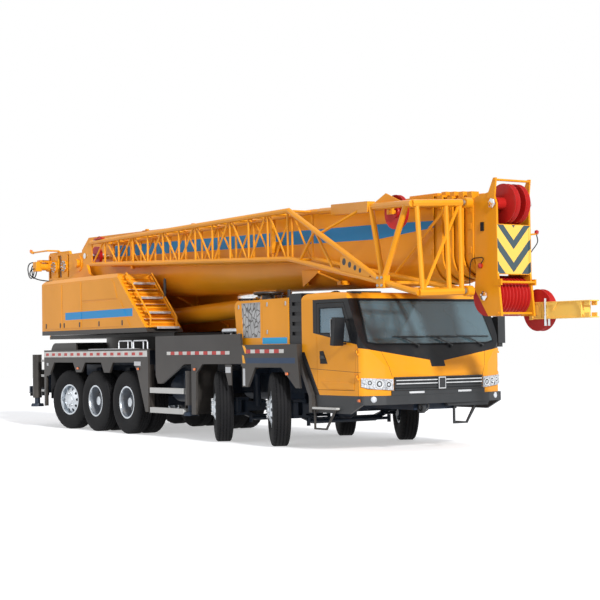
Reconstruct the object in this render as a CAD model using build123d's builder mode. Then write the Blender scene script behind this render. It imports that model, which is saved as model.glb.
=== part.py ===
from build123d import *
import os
from math import atan2, cos, hypot, radians, sin

# A five-axle truck crane, parked with its boom down. Millimetres.
# X runs forward and Y to the left, seen by the driver. While the pieces are made, X = 0 is the fourth axle.

# Wheels and axles
tyre_radius = 613
tyre_width = 315
rim_radius = 305
wheel_track = 1270
twin_outer_track = 1290
twin_spacing = 345
kingpin_track = 1030
spindle_radius = 60
running_gap = 0.05
seat_gap = 0.3
front_steer_angle = -28
rear_steer_angle = 10
# number, place along the carrier, steering angle it is parked at (None: a fixed axle with twin tyres)
axle_table = [
    (1, 6655, front_steer_angle),
    (2, 4848, front_steer_angle),
    (3, 1372, None),
    (4, 0, None),
    (5, -1340, rear_steer_angle),
]

# Carrier
frame_half_width = 430
frame_low = 850
frame_top = 1330
frame_rear = -3370
frame_front = 9120
cab_frame_low = 640
cab_frame_top = 870
body_half_width = 1500
plate = 40
deck_top = 1650
rear_deck_rear = -2310
rear_deck_front = 2420
side_panel_top = 1880
hump_rear = -2300
hump_front = -1050
hump_top = 1800
hump_half = 1340

# Outriggers: place of the box, and of each beam's centre
beam_width = 240
beam_height = 340
beam_low = 845
beam_wall = 30
beam_clear = 10
beam_end = 1400
jack_radius = 100
jack_rod_radius = 60
jack_low = 620
foot_radius = 190
foot_low = 430
# name, centre of the beam, side it slides out to, top of the jack tube
outrigger_table = [
    ("front_right", 3870, -1, 1240),
    ("front_left", 3560, 1, 1190),
    ("rear_right", -2900, -1, 1560),
    ("rear_left", -3210, 1, 1560),
]

# Slewing superstructure
slew_x = 100
slew_ring_radius = 1080
slew_ring_low = 1650
platform_low = 1895
hood_rear = -2620
hood_low = 1970
hood_top = 3160
hood_side = 1400
hood_inner = 625
winch_half_width = 420
winch_z = 3530
# name, place of the axle, radius of the drum
winch_table = [
    ("winch_main", -3660, 220),
    ("winch_auxiliary", -3130, 180),
]

# Boom
boom_pivot_x = -2400
boom_pivot_z = 3550
boom_slope = 0.9
boom_pin_radius = 90
boom_base_length = 12100
boom_half_width = 450
boom_height_above = 560
boom_height_below = 800
boom_sections = 5
section_step = 30
section_wall = 9
section_collar = 200
shoe_length = 200
head_sheave_radius = 300

# Lift cylinder
lift_base_x = 100
lift_base_z = 2260
lift_eye_x = 4500
lift_eye_z = 2420
lift_barrel_radius = 175
lift_rod_radius = 120
lift_pin_radius = 60

pieces = {}


def low_high(a, b):
    return min(a, b), max(a, b)


def side_plate(points, y_a, y_b, mode=Mode.ADD):
    """A plate whose outline is seen from the side: (x, z) corners, between two Y places."""
    low, high = low_high(y_a, y_b)
    with BuildSketch(Plane.XZ.offset(-high)) as outline:
        with BuildLine():
            Polyline(*points, close=True)
        make_face()
    extrude(outline.sketch, amount=high - low, mode=mode)


def cross_plate(points, x_a, x_b, mode=Mode.ADD):
    """A plate whose outline is seen from the front: (y, z) corners, between two X places."""
    low, high = low_high(x_a, x_b)
    with BuildSketch(Plane.YZ.offset(low)) as outline:
        with BuildLine():
            Polyline(*points, close=True)
        make_face()
    extrude(outline.sketch, amount=high - low, mode=mode)


def flat_plate(points, z_a, z_b, mode=Mode.ADD):
    """A plate whose outline is seen from above: (x, y) corners, between two heights."""
    low, high = low_high(z_a, z_b)
    with BuildSketch(Plane.XY.offset(low)) as outline:
        with BuildLine():
            Polyline(*points, close=True)
        make_face()
    extrude(outline.sketch, amount=high - low, mode=mode)


def block(x_a, x_b, y_a, y_b, z_a, z_b, mode=Mode.ADD):
    """A straight bar or panel between two corners."""
    with Locations(((x_a + x_b) / 2, (y_a + y_b) / 2, (z_a + z_b) / 2)):
        Box(abs(x_b - x_a), abs(y_b - y_a), abs(z_b - z_a), mode=mode)


def bar(start, end, radius, mode=Mode.ADD):
    """A round bar between two points."""
    along = Vector(*end) - Vector(*start)
    with BuildSketch(Plane(origin=start, z_dir=along)) as outline:
        Circle(radius)
    extrude(outline.sketch, amount=along.length, mode=mode)


def faceted_bar(start, end, radius, sides):
    """A straight member with a many-sided section, for the lattice."""
    along = Vector(*end) - Vector(*start)
    with BuildSketch(Plane(origin=start, z_dir=along)) as outline:
        RegularPolygon(radius, sides)
    extrude(outline.sketch, amount=along.length)


def turned(profile, x, z, mode=Mode.ADD):
    """A body turned about an axle along Y: (y, radius) corners."""
    with BuildSketch(Plane.YZ.offset(x)) as outline:
        with BuildLine():
            Polyline(*[(y, z + r) for y, r in profile], close=True)
        make_face()
    revolve(outline.sketch, axis=Axis((x, 0, z), (0, 1, 0)), mode=mode)


def keep(name, part):
    """Hold a finished piece under its node name."""
    pieces[name] = part


def both_sides():
    return (("right", -1), ("left", 1))


# Wheels. A single steered wheel has its disc bulged outwards, a twin has a deep dish.
def tyre_profile(y, side):
    half = tyre_width / 2
    return [
        (y - half * 0.72, rim_radius + seat_gap),
        (y - half * 0.95, tyre_radius * 0.61),
        (y - half, tyre_radius * 0.72),
        (y - half * 0.93, tyre_radius * 0.89),
        (y - half * 0.80, tyre_radius * 0.975),
        (y - half * 0.66, tyre_radius),
        (y + half * 0.66, tyre_radius),
        (y + half * 0.80, tyre_radius * 0.975),
        (y + half * 0.93, tyre_radius * 0.89),
        (y + half, tyre_radius * 0.72),
        (y + half * 0.95, tyre_radius * 0.61),
        (y + half * 0.72, rim_radius + seat_gap),
    ]


def rim_barrel(y, side):
    half = tyre_width * 0.36
    return [
        (y - half, rim_radius),
        (y - half, rim_radius - 22),
        (y + half, rim_radius - 22),
        (y + half, rim_radius),
    ]


def steer_disc(y, side):
    """Bulged disc with its hub, in a half section with the bore for the spindle."""
    return [
        (y - side * 10, rim_radius - 21),
        (y + side * 12, rim_radius - 21),
        (y + side * 120, 190),
        (y + side * 120, 130),
        (y + side * 165, 120),
        (y + side * 165, spindle_radius + running_gap),
        (y + side * 40, spindle_radius + running_gap),
        (y + side * 40, 150),
        (y + side * 95, 185),
    ]


def twin_disc(y, side):
    """Dish set deep in the outer rim, with the long hub that carries both rims."""
    return [
        (y - side * 95, rim_radius - 21),
        (y - side * 75, rim_radius - 21),
        (y - side * 75, 150),
        (y + side * 40, 140),
        (y + side * 60, 110),
        (y + side * 60, spindle_radius + running_gap),
        (y - side * 250, spindle_radius + running_gap),
        (y - side * 250, rim_radius - 21),
        (y - side * 235, rim_radius - 21),
        (y - side * 235, 120),
        (y - side * 95, 120),
    ]


hand_holes = 10
hand_hole_circle = 225
hand_hole_radius = 30
for number, axle_x, steer in axle_table:
    for side_name, side in both_sides():
        with BuildPart() as wheel:
            if steer is None:
                outer = side * twin_outer_track
                inner = side * (twin_outer_track - twin_spacing)
                for y in (outer, inner):
                    turned(tyre_profile(y, side), axle_x, tyre_radius)
                    turned(rim_barrel(y, side), axle_x, tyre_radius)
                turned(twin_disc(outer, side), axle_x, tyre_radius)
            else:
                y = side * wheel_track
                turned(tyre_profile(y, side), axle_x, tyre_radius)
                turned(rim_barrel(y, side), axle_x, tyre_radius)
                turned(steer_disc(y, side), axle_x, tyre_radius)
                for count in range(hand_holes):
                    angle = radians(360 / hand_holes * count)
                    hole_x = axle_x + hand_hole_circle * cos(angle)
                    hole_z = tyre_radius + hand_hole_circle * sin(angle)
                    bar((hole_x, y - 200, hole_z), (hole_x, y + 200, hole_z), hand_hole_radius, mode=Mode.SUBTRACT)
        if steer is None:
            keep(f"wheel_{number}_{side_name}", wheel.part)
        else:
            kingpin = Axis((axle_x, side * kingpin_track, 0), (0, 0, 1))
            keep(f"wheel_{number}_{side_name}", wheel.part.rotate(kingpin, steer))

# Knuckles: kingpin boss between the axle's fork ears, brake drum and spindle
kingpin_radius = 38
boss_radius = 85
boss_half_height = 105
ear_height = 45
drum_radius = 205
for number, axle_x, steer in axle_table:
    if steer is None:
        continue
    for side_name, side in both_sides():
        pin_y = side * kingpin_track
        with BuildPart() as knuckle:
            bar((axle_x, pin_y, tyre_radius - boss_half_height), (axle_x, pin_y, tyre_radius + boss_half_height),
                boss_radius)
            bar((axle_x, pin_y, tyre_radius - boss_half_height - ear_height),
                (axle_x, pin_y, tyre_radius + boss_half_height + ear_height), kingpin_radius)
            turned([(pin_y + side * 95, 0), (pin_y + side * 95, drum_radius), (pin_y + side * 210, drum_radius),
                    (pin_y + side * 210, spindle_radius), (pin_y + side * 380, spindle_radius),
                    (pin_y + side * 380, 0)], axle_x, tyre_radius)
            bar((axle_x, pin_y, tyre_radius), (axle_x, pin_y + side * 120, tyre_radius), 70)
            # Steering arm, towards the rear
            block(axle_x - 230, axle_x, pin_y - 30, pin_y + 30, tyre_radius - 40, tyre_radius + 10)
        kingpin = Axis((axle_x, pin_y, 0), (0, 0, 1))
        keep(f"knuckle_{number}_{side_name}", knuckle.part.rotate(kingpin, steer))

# Axles, all on the carrier: fork ears on steered ones, spindles on fixed ones, and suspension struts
strut_track = 640
strut_radius = 70
ear_gap = 6
with BuildPart() as axle_beams:
    for number, axle_x, steer in axle_table:
        beam_half = kingpin_track - 130 if steer is not None else 760
        block(axle_x - 80, axle_x + 80, -beam_half, beam_half, tyre_radius - 85, tyre_radius + 85)
        with Locations((axle_x, 0, tyre_radius)):
            Sphere(230)
        for side_name, side in both_sides():
            bar((axle_x + 60, side * strut_track, tyre_radius), (axle_x + 60, side * strut_track, frame_top - 150),
                strut_radius)
            block(axle_x - 30, axle_x + 150, side * (frame_half_width + seat_gap), side * (strut_track + 70),
                  frame_top - 150, frame_top - 60)
            if steer is None:
                turned([(side * 700, 0), (side * 700, 110), (side * 960, 110), (side * 960, spindle_radius),
                        (side * 1300, spindle_radius), (side * 1300, 0)], axle_x, tyre_radius)
                turned([(side * 640, 0), (side * 640, drum_radius), (side * 760, drum_radius), (side * 760, 0)],
                       axle_x, tyre_radius)
            else:
                low_ear = tyre_radius - boss_half_height - ear_gap - ear_height
                high_ear = tyre_radius + boss_half_height + ear_gap
                for ear in (low_ear, high_ear):
                    block(axle_x - 70, axle_x + 70, side * (kingpin_track - 200), side * kingpin_track, ear,
                          ear + ear_height)
                    bar((axle_x, side * kingpin_track, ear), (axle_x, side * kingpin_track, ear + ear_height), 70)
                block(axle_x - 70, axle_x + 70, side * (kingpin_track - 200), side * (kingpin_track - 130),
                      low_ear, high_ear + ear_height)
                bar((axle_x, side * kingpin_track, low_ear - 5), (axle_x, side * kingpin_track,
                    high_ear + ear_height + 5), kingpin_radius + running_gap, mode=Mode.SUBTRACT)
keep("axle_beams", axle_beams.part)

# Chassis: a box girder with the outrigger boxes and the turntable drum welded to it
box_half = beam_end - jack_radius - 20
channel_width = beam_width + 2 * beam_clear
channel_height = beam_height + seat_gap + beam_clear
with BuildPart() as chassis_frame:
    side_plate([(frame_rear, frame_low), (frame_rear, frame_top), (7050, frame_top), (7380, cab_frame_top),
                (frame_front, cab_frame_top), (frame_front, cab_frame_low), (7350, cab_frame_low),
                (6950, frame_low)], -frame_half_width, frame_half_width)
    with BuildSketch(Plane.XY.offset(frame_top)):
        with Locations((slew_x, 0)):
            Circle(slew_ring_radius - 130)
    extrude(amount=slew_ring_low - frame_top)
    for (_, x_right, _, _), (_, x_left, _, _) in (outrigger_table[0:2], outrigger_table[2:4]):
        x_low = min(x_right, x_left) - channel_width / 2 - beam_wall
        x_high = max(x_right, x_left) + channel_width / 2 + beam_wall
        block(x_low, x_high, -box_half, box_half, beam_low - seat_gap - beam_wall,
              beam_low + channel_height + beam_wall)
    for name, x, side, _ in outrigger_table:
        block(x - channel_width / 2, x + channel_width / 2, -box_half - 10, box_half + 10, beam_low - seat_gap,
              beam_low - seat_gap + channel_height, mode=Mode.SUBTRACT)
    # The axle differentials turn in their own bays of the girder's floor, above the axles
    for number, axle_x, steer in axle_table:
        block(axle_x - 300, axle_x + 300, -frame_half_width + 60, frame_half_width - 60, frame_low - 5,
              frame_low + 60, mode=Mode.SUBTRACT)
    # Rear bumper on two brackets, and the jaw for a tow pin
    block(frame_rear - 190, frame_rear - 120, -1300, 1300, 720, 860)
    for side_name, side in both_sides():
        block(frame_rear - 120, frame_rear + 20, side * 330, side * frame_half_width, 760, 1000)
    block(frame_rear - 110, frame_rear, -80, 80, 880, 920)
    bar((frame_rear - 60, 0, 870), (frame_rear - 60, 0, 930), 26, mode=Mode.SUBTRACT)
keep("chassis_frame", chassis_frame.part)

# Outrigger beams with the jack tube at the outer end, and the jack rod with its foot
for name, x, side, jack_top in outrigger_table:
    beam_inner = -side * (box_half - 60)
    with BuildPart() as beam:
        block(x - beam_width / 2, x + beam_width / 2, beam_inner, side * beam_end, beam_low, beam_low + beam_height)
        bar((x, side * beam_end, jack_low), (x, side * beam_end, jack_top), jack_radius)
        bar((x, side * beam_end, jack_low - 5), (x, side * beam_end, jack_top - 60), jack_rod_radius + running_gap,
            mode=Mode.SUBTRACT)
    keep(f"beam_{name}", beam.part)
    with BuildPart() as jack:
        bar((x, side * beam_end, foot_low + 60), (x, side * beam_end, jack_top - 80), jack_rod_radius)
        with BuildSketch(Plane.XY.offset(foot_low)):
            with Locations((x, side * beam_end)):
                Circle(foot_radius * 0.75)
        extrude(amount=65, taper=12)
    keep(f"jack_{name}", jack.part)

# Decks and side skirts. The arches over the wheels are cut as slanted openings in one long side plate.
with BuildPart() as deck_fenders:
    for side_name, side in both_sides():
        outer = side * body_half_width
        inner = side * (body_half_width - plate)
        side_plate([(-2310, 1620), (2420, 1620), (2420, 460), (2300, 460), (1980, 1200), (1850, 1390), (950, 1390),
                    (800, 1190), (560, 1190), (430, 1390), (-300, 1390), (-480, 1190), (-720, 1190), (-870, 1390),
                    (-1800, 1390), (-2010, 1150), (-2200, 1090), (-2260, 460), (-2310, 460)], inner, outer)
        flat_plate([(rear_deck_rear, side * frame_half_width), (rear_deck_front, side * frame_half_width),
                    (rear_deck_front, outer), (rear_deck_rear, outer)], deck_top - 30, deck_top)
        # Panel beside the front outrigger box
        side_plate([(2720, 1880), (5750, 1880), (5800, 1370), (3800, 1360), (2960, 1000), (2800, 1000),
                    (2720, 1150)], inner, outer)
        flat_plate([(2720, side * frame_half_width), (5420, side * frame_half_width), (5420, outer), (2720, outer)],
                   side_panel_top - 30, side_panel_top)
        side_plate([(4060, 1370), (4470, 1370), (4240, 1200), (4200, 460), (4060, 460)], inner, outer)
        block(4060, 4085, side * 960, outer, 460, 1370)
        # Fender over the first axle
        side_plate([(5800, 1690), (7470, 1690), (7550, 980), (7430, 980), (7010, 1310), (6210, 1310), (5980, 980),
                    (5800, 980)], inner, outer)
        flat_plate([(5800, side * frame_half_width), (7470, side * frame_half_width), (7470, outer), (5800, outer)],
                   1660, 1690)
        # Slanted mudguard between this fender and the cab
        side_plate([(7400, 1457), (7467, 1492), (7825, 872), (7825, 600), (7745, 600), (7745, 850)], side * 1180,
                   side * (body_half_width - plate + 1))
    block(rear_deck_rear, rear_deck_rear + 30, -body_half_width, body_half_width, frame_top, deck_top)
    block(2720, 2750, -body_half_width, body_half_width, frame_top, side_panel_top)
    block(5770, 5800, -body_half_width, body_half_width, frame_top, 1690)
    block(7440, 7470, -body_half_width, body_half_width, frame_top, 1690)
    # Rounded cover over the rear outrigger box
    with BuildSketch(Plane.XZ.offset(-hump_half)):
        with BuildLine():
            Polyline((hump_rear + 260, hump_top), (hump_front, hump_top), (hump_front, deck_top - 20),
                     (hump_rear, deck_top - 20))
            ThreePointArc((hump_rear, deck_top - 20), (hump_rear + 80, hump_top - 55), (hump_rear + 260, hump_top))
        make_face()
    extrude(amount=2 * hump_half)
    block(hump_rear + 200, hump_front + 10, -hump_half + plate, hump_half - plate, deck_top - 60, hump_top - 25,
          mode=Mode.SUBTRACT)
    bar((slew_x, 0, 1600), (slew_x, 0, 1700), slew_ring_radius - 120, mode=Mode.SUBTRACT)
keep("deck_fenders", deck_fenders.part)

with BuildPart() as engine:
    block(5850, 6900, -380, 380, frame_top + seat_gap, 2150)
keep("engine", engine.part)

# Cooler and air intake boxes on both sides of the engine
cover_inner = 800
cover_front = 7100
cover_top = 2450
cab_side = 1400
with BuildPart() as engine_covers:
    for side_name, side in both_sides():
        with BuildSketch(Plane.XZ.offset(-side * cover_inner)):
            with BuildLine():
                Polyline((5420, 2300), (5490, 1740), (5490, 1690 + seat_gap), (cover_front, 1690 + seat_gap),
                         (cover_front, cover_top), (5560, cover_top - 10))
                ThreePointArc((5560, cover_top - 10), (5450, 2405), (5420, 2300))
            make_face()
        extrude(amount=side * (cover_inner - cab_side))
        # Field of the mesh, sunk into the outer face, and the seam in front of it
        side_plate([(5640, 2400), (6240, 2405), (6240, 1805), (5670, 1805)], side * (cab_side - 15),
                   side * (cab_side + 5), mode=Mode.SUBTRACT)
        block(6290, 6298, side * (cab_side - 6), side * (cab_side + 5), 1700, cover_top + 5, mode=Mode.SUBTRACT)
keep("engine_covers", engine_covers.part)

# Driver's cab: a shell rounded in plan and over the roof, with cut windows
cab_wall = 50
cab_low = 880
cab_roof = 2500
cab_nose = 9255
windscreen_low = (9060, 1690)
windscreen_high = (8760, 2350)


def cab_side_view(inset):
    """The cab seen from the side, shrunk by an inset."""
    with BuildSketch() as outline:
        with BuildLine():
            Polyline((7480, 2420), (7480, 1500), (7840, cab_low), (9200, cab_low), (cab_nose, 930), (cab_nose, 1170),
                     windscreen_low, windscreen_high)
            ThreePointArc(windscreen_high, (8690, 2440), (8560, 2480))
            ThreePointArc((8560, 2480), (8080, cab_roof), (7600, 2490))
            ThreePointArc((7600, 2490), (7515, 2470), (7480, 2420))
        make_face()
        if inset:
            offset(amount=-inset, mode=Mode.REPLACE)
    return outline.sketch


def cab_plan_view(grow):
    """The cab seen from above: straight sides, rounded corners and a slightly bowed front."""
    with BuildSketch() as outline:
        with BuildLine():
            Polyline((9190, 1030), (cab_front_corner, cab_side), (7480, cab_side), (7480, -cab_side),
                     (cab_front_corner, -cab_side), (9190, -1030))
            ThreePointArc((9190, -1030), (cab_nose, 0), (9190, 1030))
        make_face()
        fillet(outline.vertices().filter_by(lambda corner: corner.X > 8900), 110)
        if grow:
            offset(amount=grow, mode=Mode.REPLACE)
    return outline.sketch


def cab_front_view(inset):
    """The cab seen from the front, with its rounded roof edges."""
    with BuildSketch() as outline:
        with BuildLine():
            Polyline((-1270, cab_roof), (1270, cab_roof))
            ThreePointArc((1270, cab_roof), (1365, 2465), (cab_side, 2370))
            Polyline((cab_side, 2370), (cab_side, cab_low), (-cab_side, cab_low), (-cab_side, 2370))
            ThreePointArc((-cab_side, 2370), (-1365, 2465), (-1270, cab_roof))
        make_face()
        if inset:
            offset(amount=-inset, mode=Mode.REPLACE)
    return outline.sketch


def cab_body(inset):
    """The cab's outer form, or its inside when it is given the wall as inset."""
    with BuildPart() as body:
        with BuildSketch(Plane.XZ.offset(-1500)):
            add(cab_side_view(inset))
        extrude(amount=3000)
        with BuildSketch(Plane.XY):
            add(cab_plan_view(-inset))
        extrude(amount=3000, mode=Mode.INTERSECT)
        with BuildSketch(Plane.YZ.offset(7000)):
            add(cab_front_view(inset))
        extrude(amount=3000, mode=Mode.INTERSECT)
    return body.part


def cab_wrap(seen_from_front, start, depth, x_low=8000):
    """A panel that lies on the cab's front and goes round its corners: its outline is (y, z) from the front."""
    with BuildPart() as panel:
        with BuildSketch(Plane.XY):
            add(cab_plan_view(start + depth))
        extrude(amount=3000)
        with BuildSketch(Plane.XY):
            add(cab_plan_view(start))
        extrude(amount=3000, mode=Mode.SUBTRACT)
        cross_plate(seen_from_front, x_low, 9500, mode=Mode.INTERSECT)
    return panel.part


cab_front_corner = 9050
door_rear = 7900
door_front = 8960
hinge_x = 8985
hinge_y = 1420
hinge_radius = 9
with BuildPart() as cab_shell:
    add(cab_body(0))
    add(cab_body(cab_wall), mode=Mode.SUBTRACT)
    # Windscreen, side and rear windows
    cross_plate([(-1230, 1760), (1230, 1760), (1190, 2300), (-1190, 2300)], 8600, 9400, mode=Mode.SUBTRACT)
    cross_plate([(-900, 1900), (900, 1900), (900, 2300), (-900, 2300)], 7300, 7600, mode=Mode.SUBTRACT)
    # Door openings, and the fixed halves of the hinges
    for side_name, side in both_sides():
        side_plate([(door_rear, 960), (8900, 960), (door_front, 1640), (8640, 2330), (door_rear, 2330)],
                   side * (cab_side - 60), side * (cab_side + 10), mode=Mode.SUBTRACT)
        for z in (1120, 1500):
            bar((hinge_x, side * hinge_y, z), (hinge_x, side * hinge_y, z + 90), hinge_radius)
            block(hinge_x, hinge_x + 40, side * (cab_side - 10), side * (hinge_y + 6), z, z + 30)
keep("cab_shell", cab_shell.part)

door_gap = 6
for side_name, side in both_sides():
    with BuildPart() as cab_door:
        side_plate([(door_rear + door_gap, 960 + door_gap), (8900 - door_gap, 960 + door_gap),
                    (door_front - door_gap, 1640), (8640 - door_gap, 2330 - door_gap),
                    (door_rear + door_gap, 2330 - door_gap)], side * (cab_side - cab_wall), side * cab_side)
        # Window with a low front corner
        side_plate([(7980, 1850), (8400, 1850), (8520, 1720), (8820, 1700), (8600, 2250), (7980, 2250)],
                   side * (cab_side - cab_wall - 1), side * (cab_side + 1), mode=Mode.SUBTRACT)
        # Recess of the handle
        side_plate([(8020, 1700), (8240, 1700), (8260, 1500), (8100, 1480)], side * (cab_side - 25),
                   side * (cab_side + 1), mode=Mode.SUBTRACT)
        side_plate([(8040, 1625), (8240, 1625), (8240, 1590), (8040, 1590)], side * (cab_side - 30),
                   side * (cab_side - 4))
        # Mirror on two arms, which swings out with the door
        side_plate([(8630, 1660), (8720, 1650), (8780, 2080), (8690, 2090)], side * 1470, side * 1660)
        block(8660, 8705, side * (cab_side - 20), side * 1475, 1668, 1692)
        block(8695, 8740, side * (cab_side - 20), side * 1475, 2040, 2065)
        for z in (1120, 1500):
            bar((hinge_x, side * hinge_y, z + 31), (hinge_x, side * hinge_y, z + 80), hinge_radius + 9)
            block(8900, hinge_x, side * cab_side, side * (hinge_y + 8), z + 31, z + 80)
            bar((hinge_x, side * hinge_y, z + 30), (hinge_x, side * hinge_y, z + 91), hinge_radius + running_gap,
                mode=Mode.SUBTRACT)
    keep(f"cab_door_{side_name}", cab_door.part)

with BuildPart() as cab_glass:
    side_plate([(9064, 1690), (8764, 2350), (8755, 2346), (9055, 1686)], -1229, 1229)
    cross_plate([(-1229.7, 1760.3), (1229.7, 1760.3), (1189.7, 2299.7), (-1189.7, 2299.7)], 8600, 9400,
                mode=Mode.INTERSECT)
    block(7500, 7510, -899.7, 899.7, 1900.3, 2299.7)
keep("cab_glass", cab_glass.part)

with BuildPart() as cab_interior:
    for y in (-650, 650):
        block(8000, 8500, y - 250, y + 250, cab_low + cab_wall + seat_gap, 1450)
        block(7950, 8080, y - 250, y + 250, 1450, 2050)
    side_plate([(8750, 1150), (8750, 1560), (8930, 1620), (9040, 1250), (9040, 1150)], -1100, 1100)
keep("cab_interior", cab_interior.part)

# Black front trim: bumper and skirts, grille with its slats, step tray and towing eye
grille_low = 955
grille_high = 1160
grille_half = 880
grille_slats = 3
with BuildPart() as front_trim:
    for side_name, side in both_sides():
        side_plate([(7850, 879.7), (7930, 600), (8770, 600), (9080, 740), (9080, 879.7)], side * 1360, side * 1400)
    add(cab_wrap([(-1500, 740), (1500, 740), (1500, 879.7), (-1500, 879.7)], -60, 85, x_low=9000))
    # Step tray and stirrup under the left half of the bumper, and the towing eye under its right half
    cross_plate([(150, 760), (190, 690), (1000, 680), (1040, 760)], 9125, 9215)
    cross_plate([(340, 695), (340, 400), (620, 400), (805, 695)], 9130, 9160)
    cross_plate([(368, 675), (368, 428), (603, 428), (758, 675)], 9125, 9165, mode=Mode.SUBTRACT)
    block(9170, 9230, -365, -305, 680, 760)
    bar((9200, -365, 665), (9200, -305, 665), 75)
    bar((9200, -370, 665), (9200, -300, 665), 40, mode=Mode.SUBTRACT)
    # Grille: a frame on the cab's nose, with slats and a square in the middle
    add(cab_wrap([(-grille_half, grille_low), (grille_half, grille_low), (grille_half, grille_high),
                  (-grille_half, grille_high)], seat_gap, 12, x_low=9100))
    for z_low, z_high in ((grille_low, grille_low + 18), (grille_high - 18, grille_high)):
        add(cab_wrap([(-grille_half, z_low), (grille_half, z_low), (grille_half, z_high), (-grille_half, z_high)],
                     12, 30, x_low=9100))
    for count in range(grille_slats):
        z = grille_low + 38 + count * 52
        add(cab_wrap([(-grille_half, z), (grille_half, z), (grille_half, z + 22), (-grille_half, z + 22)], 12, 22,
                     x_low=9100))
    block(cab_nose + 5, cab_nose + 45, -75, 75, grille_low + 5, grille_high - 5)
keep("front_trim", front_trim.part)

with BuildPart() as headlamps:
    for side_name, side in both_sides():
        add(cab_wrap([(side * 900, 960), (side * 1300, 990), (side * 1500, 1060), (side * 1500, 1160),
                      (side * 900, 1130)], seat_gap, 22, x_low=9060))
keep("headlamps", headlamps.part)

with BuildPart() as side_steps:
    for side_name, side in both_sides():
        step_end = outrigger_table[0 if side < 0 else 1][1] - 140
        for z in (820, 450):
            block(2460, step_end, side * 1400, side * 1490, z, z + 100)
        block(2380, 2461, side * 1390, side * 1459.7, 440, 1349)
        block(step_end - 18, step_end, side * (box_half + seat_gap), side * 1401, 820, 920)
        block(step_end - 18, step_end, side * 1380, side * 1440, 450, 920)
        for z in (760, 1080, 1400):
            block(-2600, -2330, side * 1400, side * 1440, z, z + 50)
        block(-2330, -2310.3, side * 1400, side * 1440, 460, 1600)
        # Tread and stirrup under the cab door
        side_plate([(7850, 646), (7850, 335), (8190, 335), (8440, 646)], side * 1415, side * 1440)
        side_plate([(7880, 647), (7880, 362), (8175, 362), (8400, 647)], side * 1410, side * 1445, mode=Mode.SUBTRACT)
        block(7840, 8500, side * (cab_side + seat_gap), side * 1465, 644, 690)
keep("side_steps", side_steps.part)

with BuildPart() as tanks:
    for side_name, side in both_sides():
        bar((2500, side * 800, 900), (3400, side * 800, 900), 260)
keep("tanks", tanks.part)

duct_ribs = 4
with BuildPart() as boom_rest:
    block(7130, 7430, -560, 560, 1690.3, 2100)
    block(7200, 7360, -300, 300, 2100, 2560)
    # Ribbed black intake duct behind the cab, on the right
    side_plate([(cover_front + 15, 1690 + seat_gap), (cover_front + 15, 2470), (7160, 2510), (7465, 2510),
                (7465, 1690 + seat_gap)], -1390, -1060)
    for count in range(duct_ribs):
        z = 1830 + count * 160
        block(7190, 7470, -1395, -1360, z, z + 60, mode=Mode.SUBTRACT)
keep("boom_rest", boom_rest.part)

# Slewing platform: bottom plate on the ring, two side plates up to the boom's foot pin, and the winch frame
with BuildPart() as slewing_platform:
    with BuildSketch(Plane.XY.offset(slew_ring_low + seat_gap)):
        with Locations((slew_x, 0)):
            Circle(slew_ring_radius)
    extrude(amount=platform_low - slew_ring_low)
    block(-3900, 1900, -640, 640, platform_low, platform_low + 60)
    for side_name, side in both_sides():
        side_plate([(-3900, platform_low), (-3900, 3200), (-3980, 3200), (-3980, 3790), (-3900, 3860),
                    (-2900, 3860), (-2840, 3780), (-2150, 3780), (-1900, 3300), (600, 2500), (1900, 2100),
                    (1900, platform_low)], side * 560, side * 620)
        # Openings between the posts of the winch frame, and a lightening hole under the foot pin
        for x_low, x_high in ((-3930, -3840), (-3480, -3290), (-2980, -2900)):
            side_plate([(x_low, 3280), (x_high, 3280), (x_high, 3780), (x_low, 3780)], side * 550, side * 630,
                       mode=Mode.SUBTRACT)
        bar((-1500, side * 550, 2600), (-1500, side * 630, 2600), 210, mode=Mode.SUBTRACT)
        bar((boom_pivot_x, side * 540, boom_pivot_z), (boom_pivot_x, side * 640, boom_pivot_z),
            boom_pin_radius + 90)
        for name, x, radius in winch_table:
            bar((x, side * 620, winch_z), (x, side * 650, winch_z), 130)
    # Cross bars of the winch frame
    for z in (3230, 3820):
        block(-3960, -3900, -560, 560, z - 30, z + 30)
    bar((boom_pivot_x, -700, boom_pivot_z), (boom_pivot_x, 700, boom_pivot_z), boom_pin_radius + running_gap,
        mode=Mode.SUBTRACT)
    for name, x, radius in winch_table:
        bar((x, -700, winch_z), (x, 700, winch_z), 60 + running_gap, mode=Mode.SUBTRACT)
    # Lugs for the lift cylinder
    for side_name, side in both_sides():
        side_plate([(lift_base_x - 200, platform_low), (lift_base_x - 150, lift_base_z + 100),
                    (lift_base_x + 150, lift_base_z + 100), (lift_base_x + 250, platform_low)],
                   side * 200, side * 260)
    bar((lift_base_x, -300, lift_base_z), (lift_base_x, 300, lift_base_z), lift_pin_radius, mode=Mode.ADD)
keep("slewing_platform", slewing_platform.part)

# Machinery hoods. The right one has a louvred face with steps and handrails, down to the deck.
hood_seat = hood_inner - 4.7
face_top = (960, hood_top)
face_foot = (2210, 2000)
face_run = face_foot[0] - face_top[0]
face_drop = face_top[1] - face_foot[1]
louvre_count = 13
step_count = 4


def face_point(share, out):
    """A point on the slanted face, a share of the way down, raised off it by some amount."""
    slope = hypot(face_run, face_drop)
    return (face_top[0] + share * face_run + out * face_drop / slope,
            face_top[1] - share * face_drop + out * face_run / slope)


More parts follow.
